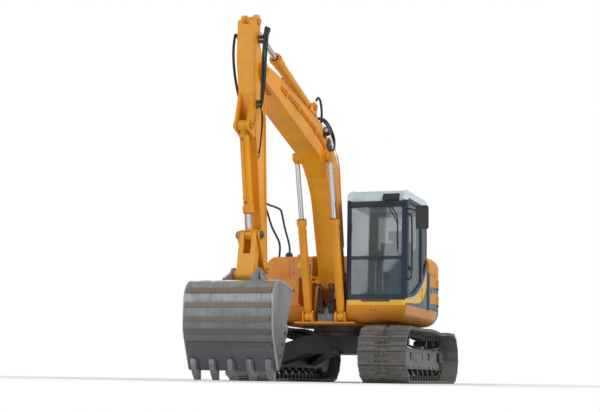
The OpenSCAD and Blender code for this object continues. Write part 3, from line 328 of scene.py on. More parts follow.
LOOKS = [
    (orange, "revolving_frame right_housing toolbox toolbox_lid boom_hoses"),
    (body_paint, "rear_housing engine_hood side_door_left side_door_right"),
    (arm_paint, "boom boom_barrels arm_barrel arm bucket_barrel tipping_links bucket_link"),
    (weight_paint, "counterweight"), (belly_paint, "belly_skirts"), (cab_frame_paint, "cab_shell"),
    (door_paint, "cab_door"), (frame_paint, "car_body"), (track_frame_paint, "track_frames"),
    (wheel_steel, "swing_ring idlers sprockets track_rollers engine_block"),
    (track_steel, "track_left track_right"), (bucket_steel, "bucket"), (tooth_steel, "bucket_teeth"),
    (chrome, "boom_rods arm_rod bucket_rod"), (plastic, "exhaust_stack handrail mirror"),
    (grey_plastic, "control_stand"), (rubber, "arm_hoses"), (lamp_metal, "work_lamp"),
    (cloth, "operator_seat"), (glass, "cab_glass"), (door_glass, "cab_door_glass")]
for look, names in LOOKS:
    for name in names.split():
        mesh = nodes[name].data
        mesh.materials.clear()
        mesh.materials.append(look)


# Shape building, in millimetres
def side_face(u, v, w):
    """Outline drawn on a face that looks sideways, w to the left."""
    return u, w, v


def front_face(u, v, w):
    """Outline drawn on a face that looks forward, w forwards."""
    return w, u, v


def circle(n, r, start=0.0):
    """Places (u, v) at n even steps round a circle."""
    turns = [start + 2 * pi * k / n for k in range(n)]
    return [(r * cos(a), r * sin(a)) for a in turns]


def rounded(corners, steps=5):
    """Outline of corners (u, v, radius) with each corner turned into an arc."""
    out = []
    n = len(corners)
    for i in range(n):
        b = Vector(corners[i][:2])
        r = corners[i][2]
        a, c = Vector(corners[i - 1][:2]), Vector(corners[(i + 1) % n][:2])
        if not r:
            out.append(tuple(b))
            continue
        u, v = (a - b).normalized(), (c - b).normalized()
        h = u.angle(v) / 2
        m = b + (u + v).normalized() * r / sin(h)
        start, end = b + u * r / tan(h) - m, b + v * r / tan(h) - m
        a0 = atan2(start.y, start.x)
        sweep = (atan2(end.y, end.x) - a0 + pi) % (2 * pi) - pi
        for k in range(steps + 1):
            a = a0 + sweep * k / steps
            out.append(tuple(m + Vector((cos(a), sin(a))) * r))
    return out


def plate(u0, u1, v0, v1, r, steps=5):
    """Rounded rectangle."""
    return rounded([(u0, v0, r), (u1, v0, r), (u1, v1, r), (u0, v1, r)], steps)


def smooth_path(points, steps):
    p = [Vector(q) for q in points]
    out = []
    for i in range(len(p) - 1):
        a, b, c, d = p[max(i - 1, 0)], p[i], p[i + 1], p[min(i + 2, len(p) - 1)]
        for k in range(steps):
            t = k / steps
            out.append(0.5 * (2 * b + (c - a) * t + (2 * a - 5 * b + 4 * c - d) * t ** 2
                              + (3 * b - a - 3 * c + d) * t ** 3))
    return out + [p[-1]]


class Shape:
    """Collects points and faces and makes one object of them; each face keeps a material number."""

    def __init__(self):
        self.points, self.faces, self.looks = [], [], []

    def add(self, points, faces, look=0):
        n = len(self.points)
        self.points += [tuple(p) for p in points]
        self.faces += [[n + i for i in f] for f in faces]
        self.looks += [look] * len(faces)

    def box(self, x0, x1, y0, y1, z0, z1, look=0):
        p = [(x, y, z) for x in (x0, x1) for y in (y0, y1) for z in (z0, z1)]
        faces = [(0, 1, 3, 2), (4, 6, 7, 5), (0, 4, 5, 1), (2, 3, 7, 6), (0, 2, 6, 4), (1, 5, 7, 3)]
        self.add(p, faces, look)

    def prism(self, outline, depth, place=side_face, look=0):
        """An outline of (u, v) between two depths w; place turns (u, v, w) into (x, y, z)."""
        n = len(outline)
        p = [place(u, v, w) for w in depth for u, v in outline]
        sides = [(i, (i + 1) % n, n + (i + 1) % n, n + i) for i in range(n)]
        self.add(p, [list(range(n))[::-1], list(range(n, 2 * n))] + sides, look)

    def bar(self, a, b, r, n=20, r_end=None, look=0):
        a, b = Vector(a), Vector(b)
        way = (b - a).normalized()
        s = way.orthogonal().normalized()
        t = way.cross(s)
        rings = [(a, r), (b, r if r_end is None else r_end)]
        p = [c + u * s + v * t for c, q in rings for u, v in circle(n, q)]
        sides = [(k, (k + 1) % n, n + (k + 1) % n, n + k) for k in range(n)]
        self.add(p, [list(range(n))[::-1], list(range(n, 2 * n))] + sides, look)

    def bolt(self, p, way, r, height, look=0):
        """Hexagon head on its washer."""
        p, way = Vector(p), Vector(way).normalized()
        self.bar(p, p + way * 3, r * 1.45, 16, look=look)
        self.bar(p + way * 3, p + way * (3 + height), r, 6, look=look)

    def tube(self, points, r, n=10, steps=6, look=0):
        path = smooth_path(points, steps)
        m = len(path)
        ways = [(path[min(i + 1, m - 1)] - path[max(i - 1, 0)]).normalized() for i in range(m)]
        s = ways[0].orthogonal().normalized()
        p = []
        for q, way in zip(path, ways):
            s = (s - way * s.dot(way)).normalized()
            t = way.cross(s)
            p += [q + u * s + v * t for u, v in circle(n, r)]
        walls = [(i * n + k, i * n + (k + 1) % n, (i + 1) * n + (k + 1) % n, (i + 1) * n + k)
                 for i in range(m - 1) for k in range(n)]
        self.add(p, walls + [list(range(n))[::-1], list(range((m - 1) * n, m * n))], look)

    def strip(self, points, normal, wide, high, closed=False, look=0):
        """Rectangular section along points, wide across the normal and high along it."""
        path = [Vector(p) for p in points]
        n = len(path)
        out = Vector(normal).normalized() * high / 2
        p = []
        for i in range(n):
            a = path[i - 1] if closed or i else path[i]
            b = path[(i + 1) % n] if closed or i < n - 1 else path[i]
            s = (b - a).cross(out).normalized() * wide / 2
            p += [path[i] + s + out, path[i] - s + out, path[i] - s - out, path[i] + s - out]
        walls = [(4 * i + k, 4 * i + (k + 1) % 4, 4 * ((i + 1) % n) + (k + 1) % 4, 4 * ((i + 1) % n) + k)
                 for i in range(n if closed else n - 1) for k in range(4)]
        ends = [] if closed else [(0, 1, 2, 3), (4 * n - 1, 4 * n - 2, 4 * n - 3, 4 * n - 4)]
        self.add(p, walls + ends, look)

    def border(self, outline, level, wide, high=8, place=side_face):
        """Strip round a closed outline that lies flat at a level."""
        self.strip([place(u, v, level) for u, v in outline], place(0, 0, 1), wide, high, True)

    def make(self, name, looks, body, slot, bevel=0.0, segments=2):
        mesh = bpy.data.meshes.new(name)
        mesh.from_pydata([tuple(c * MM for c in p) for p in self.points], [], self.faces)
        mesh.validate()
        made = bmesh.new()
        made.from_mesh(mesh)
        bmesh.ops.recalc_face_normals(made, faces=made.faces)
        made.to_mesh(mesh)
        made.free()
        for look in (looks if isinstance(looks, list) else [looks]):
            mesh.materials.append(look)
        for f, look in zip(mesh.polygons, self.looks):
            f.material_index = look
            f.use_smooth = True
        mesh.set_sharp_from_angle(angle=radians(35))
        o = link(bpy.data.objects.new(name, mesh))
        if bevel:
            b = o.modifiers.new("edges", "BEVEL")
            b.width = bevel * MM
            b.segments = segments
            b.limit_method = "ANGLE"
            b.angle_limit = radians(40)
            b.harden_normals = True
        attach(o, body)
        return o


# Tracks
CLEAT, PLATE, LINK = 26, 14, 84
TRACK_R, SHOES, SHOE_W, LANE, WHEEL_X = 405, 44, 700, 1015, 1456
CHAIN_GAP, PIN_DROP = 28, 42
PLATE_R = TRACK_R - CLEAT
RUN, ARC = 2 * WHEEL_X, pi * PLATE_R
PITCH = 2 * (RUN + ARC) / SHOES


def hump(t):
    return (1 + cos(pi * t)) / 2 if abs(t) < 1 else 0


def drape(x):
    return 10 * hump((x - 150) / 420) - 26 * hump((x + 620) / 480)


def along(s):
    """Place on the loop of shoe plates: x, z and heading."""
    s %= 2 * (RUN + ARC)
    if s < RUN:
        return s - WHEEL_X, CLEAT, 0
    if s < RUN + ARC:
        a = (s - RUN) / PLATE_R
        return WHEEL_X + PLATE_R * sin(a), TRACK_R - PLATE_R * cos(a), a
    if s < 2 * RUN + ARC:
        x = WHEEL_X - (s - RUN - ARC)
        return x, TRACK_R + PLATE_R + drape(x), pi + atan((drape(x + 1) - drape(x - 1)) / 2)
    a = (s - 2 * RUN - ARC) / PLATE_R
    return -WHEEL_X - PLATE_R * sin(a), TRACK_R + PLATE_R * cos(a), pi + a


def on_shoe(place, u, v):
    x, z, a = place
    return x + u * cos(a) + v * sin(a), z + u * sin(a) - v * cos(a)


# Outlines of a shoe: u in shares of the pitch, v outwards from the plate
SHOE = [(-0.50, -4), (-0.465, 21), (-0.44, 26), (-0.395, 26), (-0.365, 20), (-0.34, 3), (-0.30, 0),
        (-0.075, 0), (-0.05, 4), (-0.035, 20), (-0.022, 23.5), (0.022, 23.5), (0.035, 20), (0.05, 4),
        (0.075, 0), (0.30, 0), (0.34, 3), (0.365, 20), (0.395, 26), (0.43, 26), (0.45, 20), (0.455, -7),
        (0.54, -9), (0.54, -14), (-0.455, -14)]
SHOE_MIDDLE = [(-0.455, -14), (0.54, -14), (0.54, -9), (-0.455, -7)]


def build_track(side, name):
    y0 = side * LANE
    s = Shape()
    for i in range(SHOES):
        place = along((i + 0.5) * PITCH)

        def put(u, v, w, place=place):
            x, z = on_shoe(place, u * PITCH, v)
            return x, y0 + w, z

        for w in ((-SHOE_W / 2, -CHAIN_GAP), (CHAIN_GAP, SHOE_W / 2)):
            s.prism(SHOE, w, put)
        for u0, u1, top in ((-0.455, -0.29, 20), (-0.07, 0.07, 17), (0.29, 0.455, 20)):
            s.prism([(u0, -PLATE), (u1, -PLATE), (u1, 0), (u0 * 0.9, top), (u0, top)],
                    (-CHAIN_GAP, CHAIN_GAP), put)
        s.prism(SHOE_MIDDLE, (-CHAIN_GAP, CHAIN_GAP), put)
        for w in (-88, -44, 44, 88):
            for u in (-0.21, 0.19):
                a = Vector(put(u, 0, w))
                s.bolt(a, Vector(put(u, 10, w)) - a, 12, 9, look=1)
        end, after = along(i * PITCH), along((i + 1) * PITCH)
        low, high = -LINK - PLATE, -PLATE
        chain = [on_shoe(q, 0, v) for q, v in ((end, low), (after, low), (after, high), (end, high))]
        x, z = on_shoe(end, 0, -PLATE - PIN_DROP)
        for e in (-1, 1):
            near, far = y0 + e * 60, y0 + e * 92
            s.prism(chain, sorted((near, near + e * 14)), look=1)
            s.bar((x, y0 + e * 50, z), (x, far, z), 40, 14, look=1)
            s.bar((x, far - e, z), (x, far + e * 5, z), 19, 12, look=1)
        s.bar((x, y0 - 52, z), (x, y0 + 52, z), 30, 14, look=1)
    o = s.make(name, [track_steel, wheel_steel], "undercarriage", "track_steel", bevel=1.5, segments=1)
    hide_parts("track_left" if side > 0 else "track_right")


build_track(1, "left_track_shoes")
build_track(-1, "right_track_shoes")

# Side-view places of the digging gear
FOOT = (900, 1500)
RAISE = radians(7.8)
SHIFT = (-291.632, 501.074)
RAM_BASE, RAM_EYE = (1250, 955), (1925.36, 3225.12)
ARM_RAM_BASE, ARM_RAM_EYE = (2207.79, 3889.6), (4579.19, 4499.44)
BUCKET_RAM_BASE, BUCKET_RAM_EYE = (4749.19, 3139.44), (4449.19, 1809.44)
BOOM_TIP = (4429.19, 3889.44)
TIPPING_PIN, BUCKET_PIN, LINK_PIN = (4229.19, 1389.44), (4129.19, 1069.44), (4539.19, 1299.44)


def raised(x, z, y=0.0):
    """A boom place drawn at the digging pose, moved to where the boom stands."""
    dx, dz = x - FOOT[0], z - FOOT[1]
    c, s = cos(RAISE), sin(RAISE)
    return (FOOT[0] + dx * c - dz * s, y, FOOT[1] + dx * s + dz * c)


def hung(x, z, y=0.0):
    """An arm or bucket place drawn at the digging pose, moved with the boom's tip."""
    return (x + SHIFT[0], y, z + SHIFT[1])


def laid(move, y, *places):
    """Places (x, z), or (x, z, own y), each moved by raised or hung."""
    return [move(*p) if len(p) == 3 else move(*p, y) for p in places]


# Cab: seals, trim, wiper and door parts
seals = Shape()
for z0, z1 in ((1265, 1795), (1825, 2560)):
    front = rounded([(398, z0, 40), (1179, z0, 40), (1179, z1, 30), (398, z1, 30)])
    seals.border(front, 1311, 20, place=front_face)
quarter = [(-45, 1990, 60), (-20, 1880, 60), (265, 1600, 20), (265, 2640, 40), (-45, 2640, 80)]
seals.border(rounded(quarter), 1227, 18)
inner = [(60, 1480, 60), (1210, 1480, 60), (1210, 2600, 90), (60, 2600, 60)]
seals.border(rounded(inner), 350, 18)
seals.border(plate(432, 1055, 2040, 2620, 50), -112, 18, place=front_face)
seals.box(1329, 1334, 350, 1228, 2566, 2580)
seals.box(1327, 1333, 350, 1228, 2592, 2604)
seals.box(1326, 1336, 570, 1000, 1172, 1192)
for y in (722, 782):
    seals.bar((1310, y, 1050), (1321.5, y, 1050), 9, 16)
seals.make("cab_window_seals", rubber, "upper", "black_plastic", bevel=1.5)

seals = Shape()
door_window = [(1180, 1262, 40), (1180, 2630, 60), (385, 2630, 60), (385, 1515, 30), (850, 1335, 400)]
seals.border(rounded(door_window), 1227, 18)
seals.make("door_window_seal", rubber, "door", "black_plastic", bevel=1.5)


def sweep_line(x):
    """Height of the silver line that climbs from the front of the cab to its rear."""
    start, slope, rise, power = GOLD_LINE
    t = (CAB_FRONT - x) / CAB_LENGTH
    return start + slope * t + rise * t ** power


for name, body, places in (("door_sweep_trim", "door", range(338, 1235, 56)),
                           ("cab_sweep_trim", "upper", range(30, 325, 42))):
    trim = Shape()
    trim.strip([(x, 1246, sweep_line(x)) for x in places], (0, 1, 0), 26, 9)
    trim.make(name, silver_trim, body, "cab_paint", bevel=1.5)

wiper = Shape()
arc = [(1080 + r * cos(radians(a)), 2580 + r * sin(radians(a)))
       for r, turns in ((232, range(16, 45, 4)), (268, range(40, 14, -4))) for a in turns]
wiper.prism(arc, (880, 1125))
wiper.bar((1318, 905, 2660), (1330, 905, 2660), 26, 24)
wiper.bar((1316, 960, 2668), (1330, 960, 2668), 18, 24)
wiper.tube([(1332, 905, 2660), (1342, 960, 2570), (1341, 1060, 2390), (1337, 1104, 2300)], 7, 8, 5)
wiper.tube([(1332, 960, 2668), (1344, 1005, 2575), (1343, 1085, 2430), (1338, 1104, 2340)], 6, 8, 5)
wiper.box(1328, 1336, 1098, 1112, 1930, 2360)
wiper.box(1319, 1329, 1102, 1108, 1900, 2390)
for z in (2000, 2150, 2290):
    wiper.box(1325, 1340, 1096, 1114, z, z + 26)
wiper.box(1325, 1342, 1180, 1206, 2180, 2196)
wiper.box(1325, 1342, 1170, 1206, 1920, 1936)
wiper.make("front_wiper", plastic, "upper", "black_plastic", bevel=1.2)

lock = Shape()
lock.prism(plate(1115, 1222, 1615, 1705, 14), (1244, 1248))
lock.bar((1200, 1248, 1645), (1200, 1252, 1645), 12, 20, look=1)
lock.bar((1200, 1252, 1645), (1200, 1253, 1645), 8, 16)
lock.make("door_lock_plate", [plastic, chrome], "door", "black_plastic", bevel=1)

mirror_glass = Shape()
mirror_glass.prism(plate(1388, 1547, 2230, 2546, 22), (1285.5, 1287.9), front_face)
mirror_glass.make("mirror_glass", chrome, "upper", "window")
mirror_rim = Shape()
mirror_rim.bar((1318, 1467, 2420), (1324, 1467, 2420), 22, 20)
mirror_rim.border(plate(1384, 1551, 2225, 2551, 24), 1318.6, 9, 6, front_face)
mirror_rim.box(1262, 1286, 1244, 1252, 2500, 2545)
mirror_rim.make("mirror_rim", plastic, "upper", "black_plastic", bevel=1.5)

# Cab interior
SEAT_Y, CONTROL_REACH, LEVER_REACH = 788.5, 315, 55
inside = Shape()
inside.box(790, 1245, 402, 1180, 1175.5, 1179)
for i in range(14):
    inside.box(800 + i * 31, 812 + i * 31, 420, 1165, 1179, 1180.8)
armrest = rounded([(300, 1641, 12), (620, 1641, 12), (600, 1700, 26), (310, 1690, 26)])
pedal = rounded([(1040, 1262, 8), (1190, 1292, 8), (1186, 1304, 8), (1036, 1274, 8)])
for s in (-1, 1):
    y = SEAT_Y + s * CONTROL_REACH
    inside.bar((690, y, 1664), (690, y, 1735), 42, 20, 15)
    for k in range(3):
        inside.bar((690, y, 1676 + 18 * k), (690, y, 1682 + 18 * k), 39 - 8 * k, 20, 35 - 8 * k)
    inside.bar((690, y, 1905), (690, y, 1926), 25, 20, 14)
    inside.prism(armrest, (y - 46, y + 46))
    y = SEAT_Y + s * LEVER_REACH
    inside.bar((1130, y, 1752), (1130, y, 1800), 19, 20, 22)
    inside.bar((1130, y, 1216), (1130, y, 1260), 28, 20, 12)
    inside.prism(pedal, (y - 44, y + 44))
inside.box(20, 140, 470, 1110, 1175.5, 1560)
inside.box(10, 60, 470, 1110, 1560, 1600)
inside.make("cab_fittings", plastic, "upper", "black_plastic", bevel=2)
levers = Shape()
for s in (-1, 1):
    y = SEAT_Y + s * LEVER_REACH
    levers.bar((1130, y, 1260), (1130, y, 1752), 12.5, 16)
levers.make("travel_levers", chrome, "upper", "black_plastic")
monitor = Shape()
monitor.prism(rounded([(1128, 1560, 10), (1172, 1548, 10), (1186, 1690, 14), (1140, 1702, 14)]), (405, 555))
monitor.bar((1150, 480, 1300), (1150, 480, 1560), 14, 16)
monitor.box(1080, 1200, 405, 470, 1176, 1420)
monitor.prism([(1127, 1572), (1129, 1571.5), (1139, 1690), (1137, 1690.5)], (420, 540), look=1)
monitor.make("dash_monitor", [grey_plastic, screen], "upper", "black_plastic", bevel=3)

# Cushions: grid and largest swelling in metres, and the frames of cloth pressure
CUSHION_GRID, SWELLING, PUFF_FRAMES = 0.006, 0.022, 20


def cushion(name, corners, y0, y1):
    """Padded block: blown up by cloth pressure, held to a small swelling, then smoothed."""
    s = Shape()
    s.prism(rounded(corners, 4), (y0, y1))
    o = s.make(name, cloth, "upper", "seat_cloth")
    bpy.context.view_layer.objects.active = o
    o.select_set(True)
    remesh = o.modifiers.new("remesh", "REMESH")
    remesh.mode = "VOXEL"
    remesh.voxel_size = CUSHION_GRID
    bpy.ops.object.modifier_apply(modifier=remesh.name)
    start = [v.co.copy() for v in o.data.vertices]
    puff = o.modifiers.new("puff", "CLOTH")
    puff.settings.use_pressure = True
    puff.settings.uniform_pressure_force = 4
    puff.settings.effector_weights.gravity = 0
    for frame_number in range(1, PUFF_FRAMES + 1):
        scene.frame_set(frame_number)
    bpy.ops.object.modifier_apply(modifier=puff.name)
    scene.frame_set(1)
    for v, a in zip(o.data.vertices, start):
        move = v.co - a
        if move.length > SWELLING:
            v.co = a + move * (SWELLING / move.length)
    smooth = o.modifiers.new("smooth", "SMOOTH")
    smooth.iterations = 4
    bpy.ops.object.modifier_apply(modifier=smooth.name)
    for f in o.data.polygons:
        f.use_smooth = True
    o.select_set(False)


cushion("seat_cushion", [(205, 1540, 20), (655, 1535, 25), (680, 1590, 30), (660, 1618, 30), (215, 1612, 30)],
        560, 1017)
cushion("back_cushion", [(236, 1640, 25), (283, 1640, 25), (205, 2120, 30), (160, 2120, 20)], 574, 1003)

# Upper body: tank side, housing and deck
TANK_FACE, BOX_FACE, HALF_WIDTH = 400, 700, 1245
# The hood's latches lie on an arc round this x
LATCH_ARC_X, TAIL_R = 14, 1500
CAP_X, CAP_Y = 230, -720


def plate_x(s, x, y0, y1, z0, z1, r, thick, look=0):
    """Rounded plate lying on a face that looks forward."""
    s.prism(plate(y0, y1, z0, z1, r, 3), (x, x + thick), front_face, look)


tank = Shape()
plate_x(tank, TANK_FACE, -532, -503, 1655, 1800, 8, 5)
plate_x(tank, TANK_FACE + 5, -525, -510, 1668, 1787, 4, 2, look=1)
tank.box(TANK_FACE - 1, TANK_FACE + 2, -853, -849, 1561, 1900)
for z in (1680, 1860):
    tank.bolt((TANK_FACE, -790, z), (1, 0, 0), 7, 5)
tank.make("tank_gauge_and_seam", [plastic, screen], "upper", "black_plastic", bevel=1)
blank = Shape()
plate_x(blank, TANK_FACE, -722, -560, 1752, 1832, 5, 1.5)
plate_x(blank, BOX_FACE, -955, -850, 1195, 1345, 4, 1.5, look=1)
plate_x(blank, BOX_FACE, -1025, -962, 1195, 1345, 4, 1.2, look=2)
blank.make("blank_label_plates", [yellow_label, cream, grey_plastic], "upper", "body_paint")

box_front = Shape()
for i in range(3):
    z = 1385 + 46 * i
    box_front.prism([(701, z + 2), (692, z - 6), (690, z - 4), (699, z + 4)], (-983, -857))
box_front.prism(plate(-776, -634, 1334, 1421, 12), (692.2, 694), front_face)
box_front.box(694, 701, -760, -735, 1345, 1410)
box_front.bar((694, -680, 1378), (703, -680, 1378), 19, 24, look=1)
box_front.bar((703, -680, 1378), (705, -680, 1378), 9, 16, look=2)
for y, z in ((-1030, 1180), (-620, 1180), (-1030, 1530), (-620, 1530)):
    box_front.bolt((BOX_FACE, y, z), (1, 0, 0), 7, 5)
box_front.make("tool_box_front", [orange, pin_steel, plastic], "upper", "body_paint", bevel=1)

grip = Shape()
for i in range(9):
    for j in range(3):
        x, y = 735 + i * 29, -1150 + j * 30
        grip.bar((x, y, 1150), (x, y, 1154), 9, 10, 6)
for i in range(7):
    for j in range(12):
        x, y = -120 + i * 70, -1080 + j * 50
        by_cap, by_exhaust = hypot(x - CAP_X, y - CAP_Y) < 95, hypot(x + 60, y + 1020) < 90
        if not (by_cap or by_exhaust):
            grip.bar((x, y, 1930), (x, y, 1933.5), 11, 10, 8)
grip.make("anti_slip_studs", orange, "upper", "body_paint")

cap = Shape()
cap.bar((CAP_X, CAP_Y, 1966), (CAP_X, CAP_Y, 1978), 46, 32, 42)
for u, v in circle(12, 52):
    cap.bar((CAP_X + u, CAP_Y + v, 1942), (CAP_X + u, CAP_Y + v, 1964), 4, 8)
cap.make("filler_cap_grip", plastic, "upper", "black_plastic", bevel=2)

hood_bits = Shape()
for y in (-700, 700):
    x = LATCH_ARC_X - sqrt(TAIL_R ** 2 - y ** 2)
    hood_bits.box(x - 6, x + 16, y - 45, y + 45, 1715, 1750)
hood_bits.make("hood_latches", plastic, "hood", "black_plastic", bevel=4)

for side, name in ((1, "left"), (-1, "right")):
    latch = Shape()
    y = side * HALF_WIDTH
    latch.prism(plate(-352, -272, 1385, 1450, 16), sorted((y, y + side * 3)))
    latch.prism(plate(-340, -300, 1395, 1440, 10), sorted((y + side * 3, y + side * 8)), look=1)
    latch.box(-497, -494, *sorted((y, y + side * 1.2)), 1158, 1674)
    latch.make(f"{name}_bay_latch", [plastic, chrome], f"{name}_bay_door", "black_plastic", bevel=1)

frame_bits = Shape()
for s in (-1, 1):
    x, z = FOOT
    frame_bits.bar((x, s * 212, z), (x, s * 220, z), 62, 28)
    for u, v in circle(4, 42, pi / 4):
        frame_bits.bolt((x + u, s * 220, z + v), (0, s, 0), 8, 6, look=1)
    x, z = RAM_BASE
    frame_bits.bar((x, s * 329, z), (x, s * 338, z), 50, 28)
    for a in (0.6, 2.5, 4.7):
        head = (x + 32 * cos(a), s * 338, z + 32 * sin(a))
        frame_bits.bolt(head, (0, s, 0), 8, 6, look=1)
    for x in range(420, 1300, 110):
        frame_bits.bolt((x, s * 420, 880), (0, 0, 1), 10, 7, look=1)
    frame_bits.bar((-150, s * 199.5, 882), (1318, s * 199.5, 882), 5, 8)
frame_bits.bar((1300, -445, 866), (1300, 445, 866), 12, 12)
frame_bits.make("frame_pin_caps", [orange, pin_steel], "upper", "body_paint", bevel=1)

valve = Shape()
top = 1080
valve.box(1160, 1232, -118, 128, 881, top)
valve.box(1150, 1244, -96, 106, 920, 990)
for y in (-90, -40, 75, 125):
    port = min(y, 112)
    valve.bar((1236, port, 1010), (1262, port, 1010), 19, 6)
    valve.tube([(1256, port, 1012), (1282, y, 1040), (1292, y, 1110), (1290, y, 1230), (1287, y, 1390)],
               15, look=1)
    valve.bar((1287, y, 1366), (1287, y, 1394), 19, 6)
for y in (-60, 10, 80):
    valve.bar((1195, y, top), (1195, y, top + 34), 22, 6)
    valve.tube([(1195, y, top + 30), (1190, y, top + 80), (1120, y * 1.3, top + 130),
                (1000, y * 1.5, top + 90), (860, y * 1.5, 1010), (700, y * 1.6, 925),
                (420, y * 1.6, 912)], 15, 10, 5, look=1)
valve.make("tower_valve_and_hoses", [pin_steel, rubber], "upper", "hose_rubber", bevel=1.5)

# Boom: flange edges, pipes, valve, clamps and the lamp
BOOM_LOW = [(1205, 1790), (1400, 2150), (1560, 2440), (1680, 2640), (1790, 2790), (1900, 2890), (2040, 2960),
            (2200, 2999), (2400, 3026), (3000, 3090), (3700, 3165), (4230, 3222)]
BOOM_TOP = [(905, 1860), (1100, 2360), (1290, 2850), (1390, 3085), (1470, 3215), (1590, 3325), (1760, 3405),
            (1960, 3455), (2200, 3482), (2420, 3489), (3000, 3500), (3700, 3507), (4110, 3506)]
edges = Shape()
for s in (-1, 1):
    for run in (BOOM_LOW, BOOM_TOP):
        edges.strip(smooth_path(laid(raised, s * 161.5, *run), 3), (0, 1, 0), 14, 5)
edges.make("boom_weld_edges", arm_paint, "boom_body", "body_paint", bevel=1)

pipes = Shape()
for y in (112, 140):
    pipes.tube(laid(raised, y, (4060, 3540), (3400, 3528), (2760, 3526), (2450, 3532)), 13, look=3)
for y in (-112, -140):
    pipes.tube(laid(raised, y, (4060, 3540), (3400, 3528), (2500, 3530), (2000, 3500), (1600, 3392),
                    (1400, 3230), (1250, 2900), (1040, 2360), (930, 2080)), 11)
pipes.tube(laid(raised, 147, (1480, 3300), (1330, 3140), (1200, 2800), (1000, 2290), (900, 2030)), 11)
for x, z in ((4000, 3518), (3500, 3512), (3000, 3512), (2560, 3512)):
    for s in (-1, 1):
        p = raised(x, z)
        pipes.box(p[0] - 16, p[0] + 16, *sorted((s * 96, s * 156)), p[2] - 14, p[2] + 30, look=1)
        q = raised(x, z + 20, s * 126)
        pipes.bolt((q[0], q[1], q[2] + 10), (0, 0, 1), 8, 6, look=2)
for x, z in ((1330, 2400), (1700, 2950), (2600, 3330), (3400, 3390), (3900, 3404)):
    a, b = Vector(raised(x - 14, z + 34)), Vector(raised(x + 34, z - 78))
    m = (a + b) / 2
    way = (b - a).normalized()
    side_way = Vector((-way.z, 0, way.x))
    corners = [m + way * u + side_way * v for u, v in ((-60, -13), (60, -13), (60, 13), (-60, 13))]
    for s in (-1, 1):
        for d in (-44, 44):
            c = m + way * d
            pipes.bolt((c.x, s * 176, c.z), (0, s, 0), 8, 6, look=2)
        pipes.prism([(c.x, c.z) for c in corners], sorted((s * 160.5, s * 188)), look=1)
pipes.make("boom_pipes_and_clamps", [arm_paint, arm_paint, pin_steel, rubber], "boom_body", "body_paint",
           bevel=1)

hoses = Shape()
for y, lift in ((112, 0), (140, 14)):
    hoses.tube(laid(raised, y, (2470, 3532), (2380, 3560 + lift), (2180, 3600 + lift, y + 12),
                    (1960, 3575 + lift, y + 24), (1800, 3500, y + 38), (1740 - lift, 3400, 179),
                    (1770, 3290, 181), (1850 + lift, 3252, 181)), 15)
hoses.tube(laid(raised, 128, (2545, 3780), (2470, 3850), (2360, 3830, 130), (2270, 3700),
                (2235, 3545, 118)), 17)
hoses.tube(laid(raised, -128, (2545, 3770), (2450, 3810), (2370, 3760, -130), (2310, 3640),
                (2290, 3545, -118)), 17)
hoses.tube(laid(raised, 166, (2240, 3452, 196), (2255, 3380, 186), (2262, 3330, 176), (2330, 3290),
                (2400, 3270, 164)), 5, 8)
hoses.make("boom_hose_loops", rubber, "boom_body", "hose_rubber")

block = Shape()
for corners, y in ((((1890, 3215), (2060, 3258), (2040, 3352), (1872, 3310)), (163, 197)),
                   (((1905, 3300), (2020, 3330), (2008, 3398), (1893, 3368)), (160, 186))):
    block.prism([p[::2] for p in laid(raised, 0, *corners)], y)
for p in laid(raised, 0, (1906, 3250), (1950, 3262), (1995, 3274), (2036, 3284)):
    block.bar((p[0], 197, p[2]), (p[0], 201, p[2]), 15, 6)
for x, z, u, v in ((1882, 3262, 1830, 3248), (1906, 3214, 1920, 3158), (2014, 3246, 2028, 3190)):
    block.bar(raised(x, z, 180), raised(u, v, 180), 16, 6)
block.make("boom_valve", pin_steel, "boom_body", "black_plastic", bevel=2)

lamp = Shape()
forwards = Vector(raised(2259, 3434)) - Vector(raised(2251, 3434))
lamp.strip([raised(2253, z, y) for y, z in plate(172, 248, 3396, 3472, 10)], forwards, 12, 12, True)
lamp.bar(raised(2250, 3434, 210), raised(2256, 3434, 210), 34, 28, 30, look=1)
for y0, y1 in ((165, 168), (252, 257)):
    lamp.bar(raised(2200, 3430, y0), raised(2200, 3430, y1), 13, 6, look=2)
for k in range(5):
    p = raised(2142, 3405 + 12 * k)
    lamp.bar((p[0], 180, p[2]), (p[0], 240, p[2]), 4, 8, look=2)
lamp.make("work_lamp_lens", [grey_plastic, lens, plastic], "boom_body", "lamp_body", bevel=1)


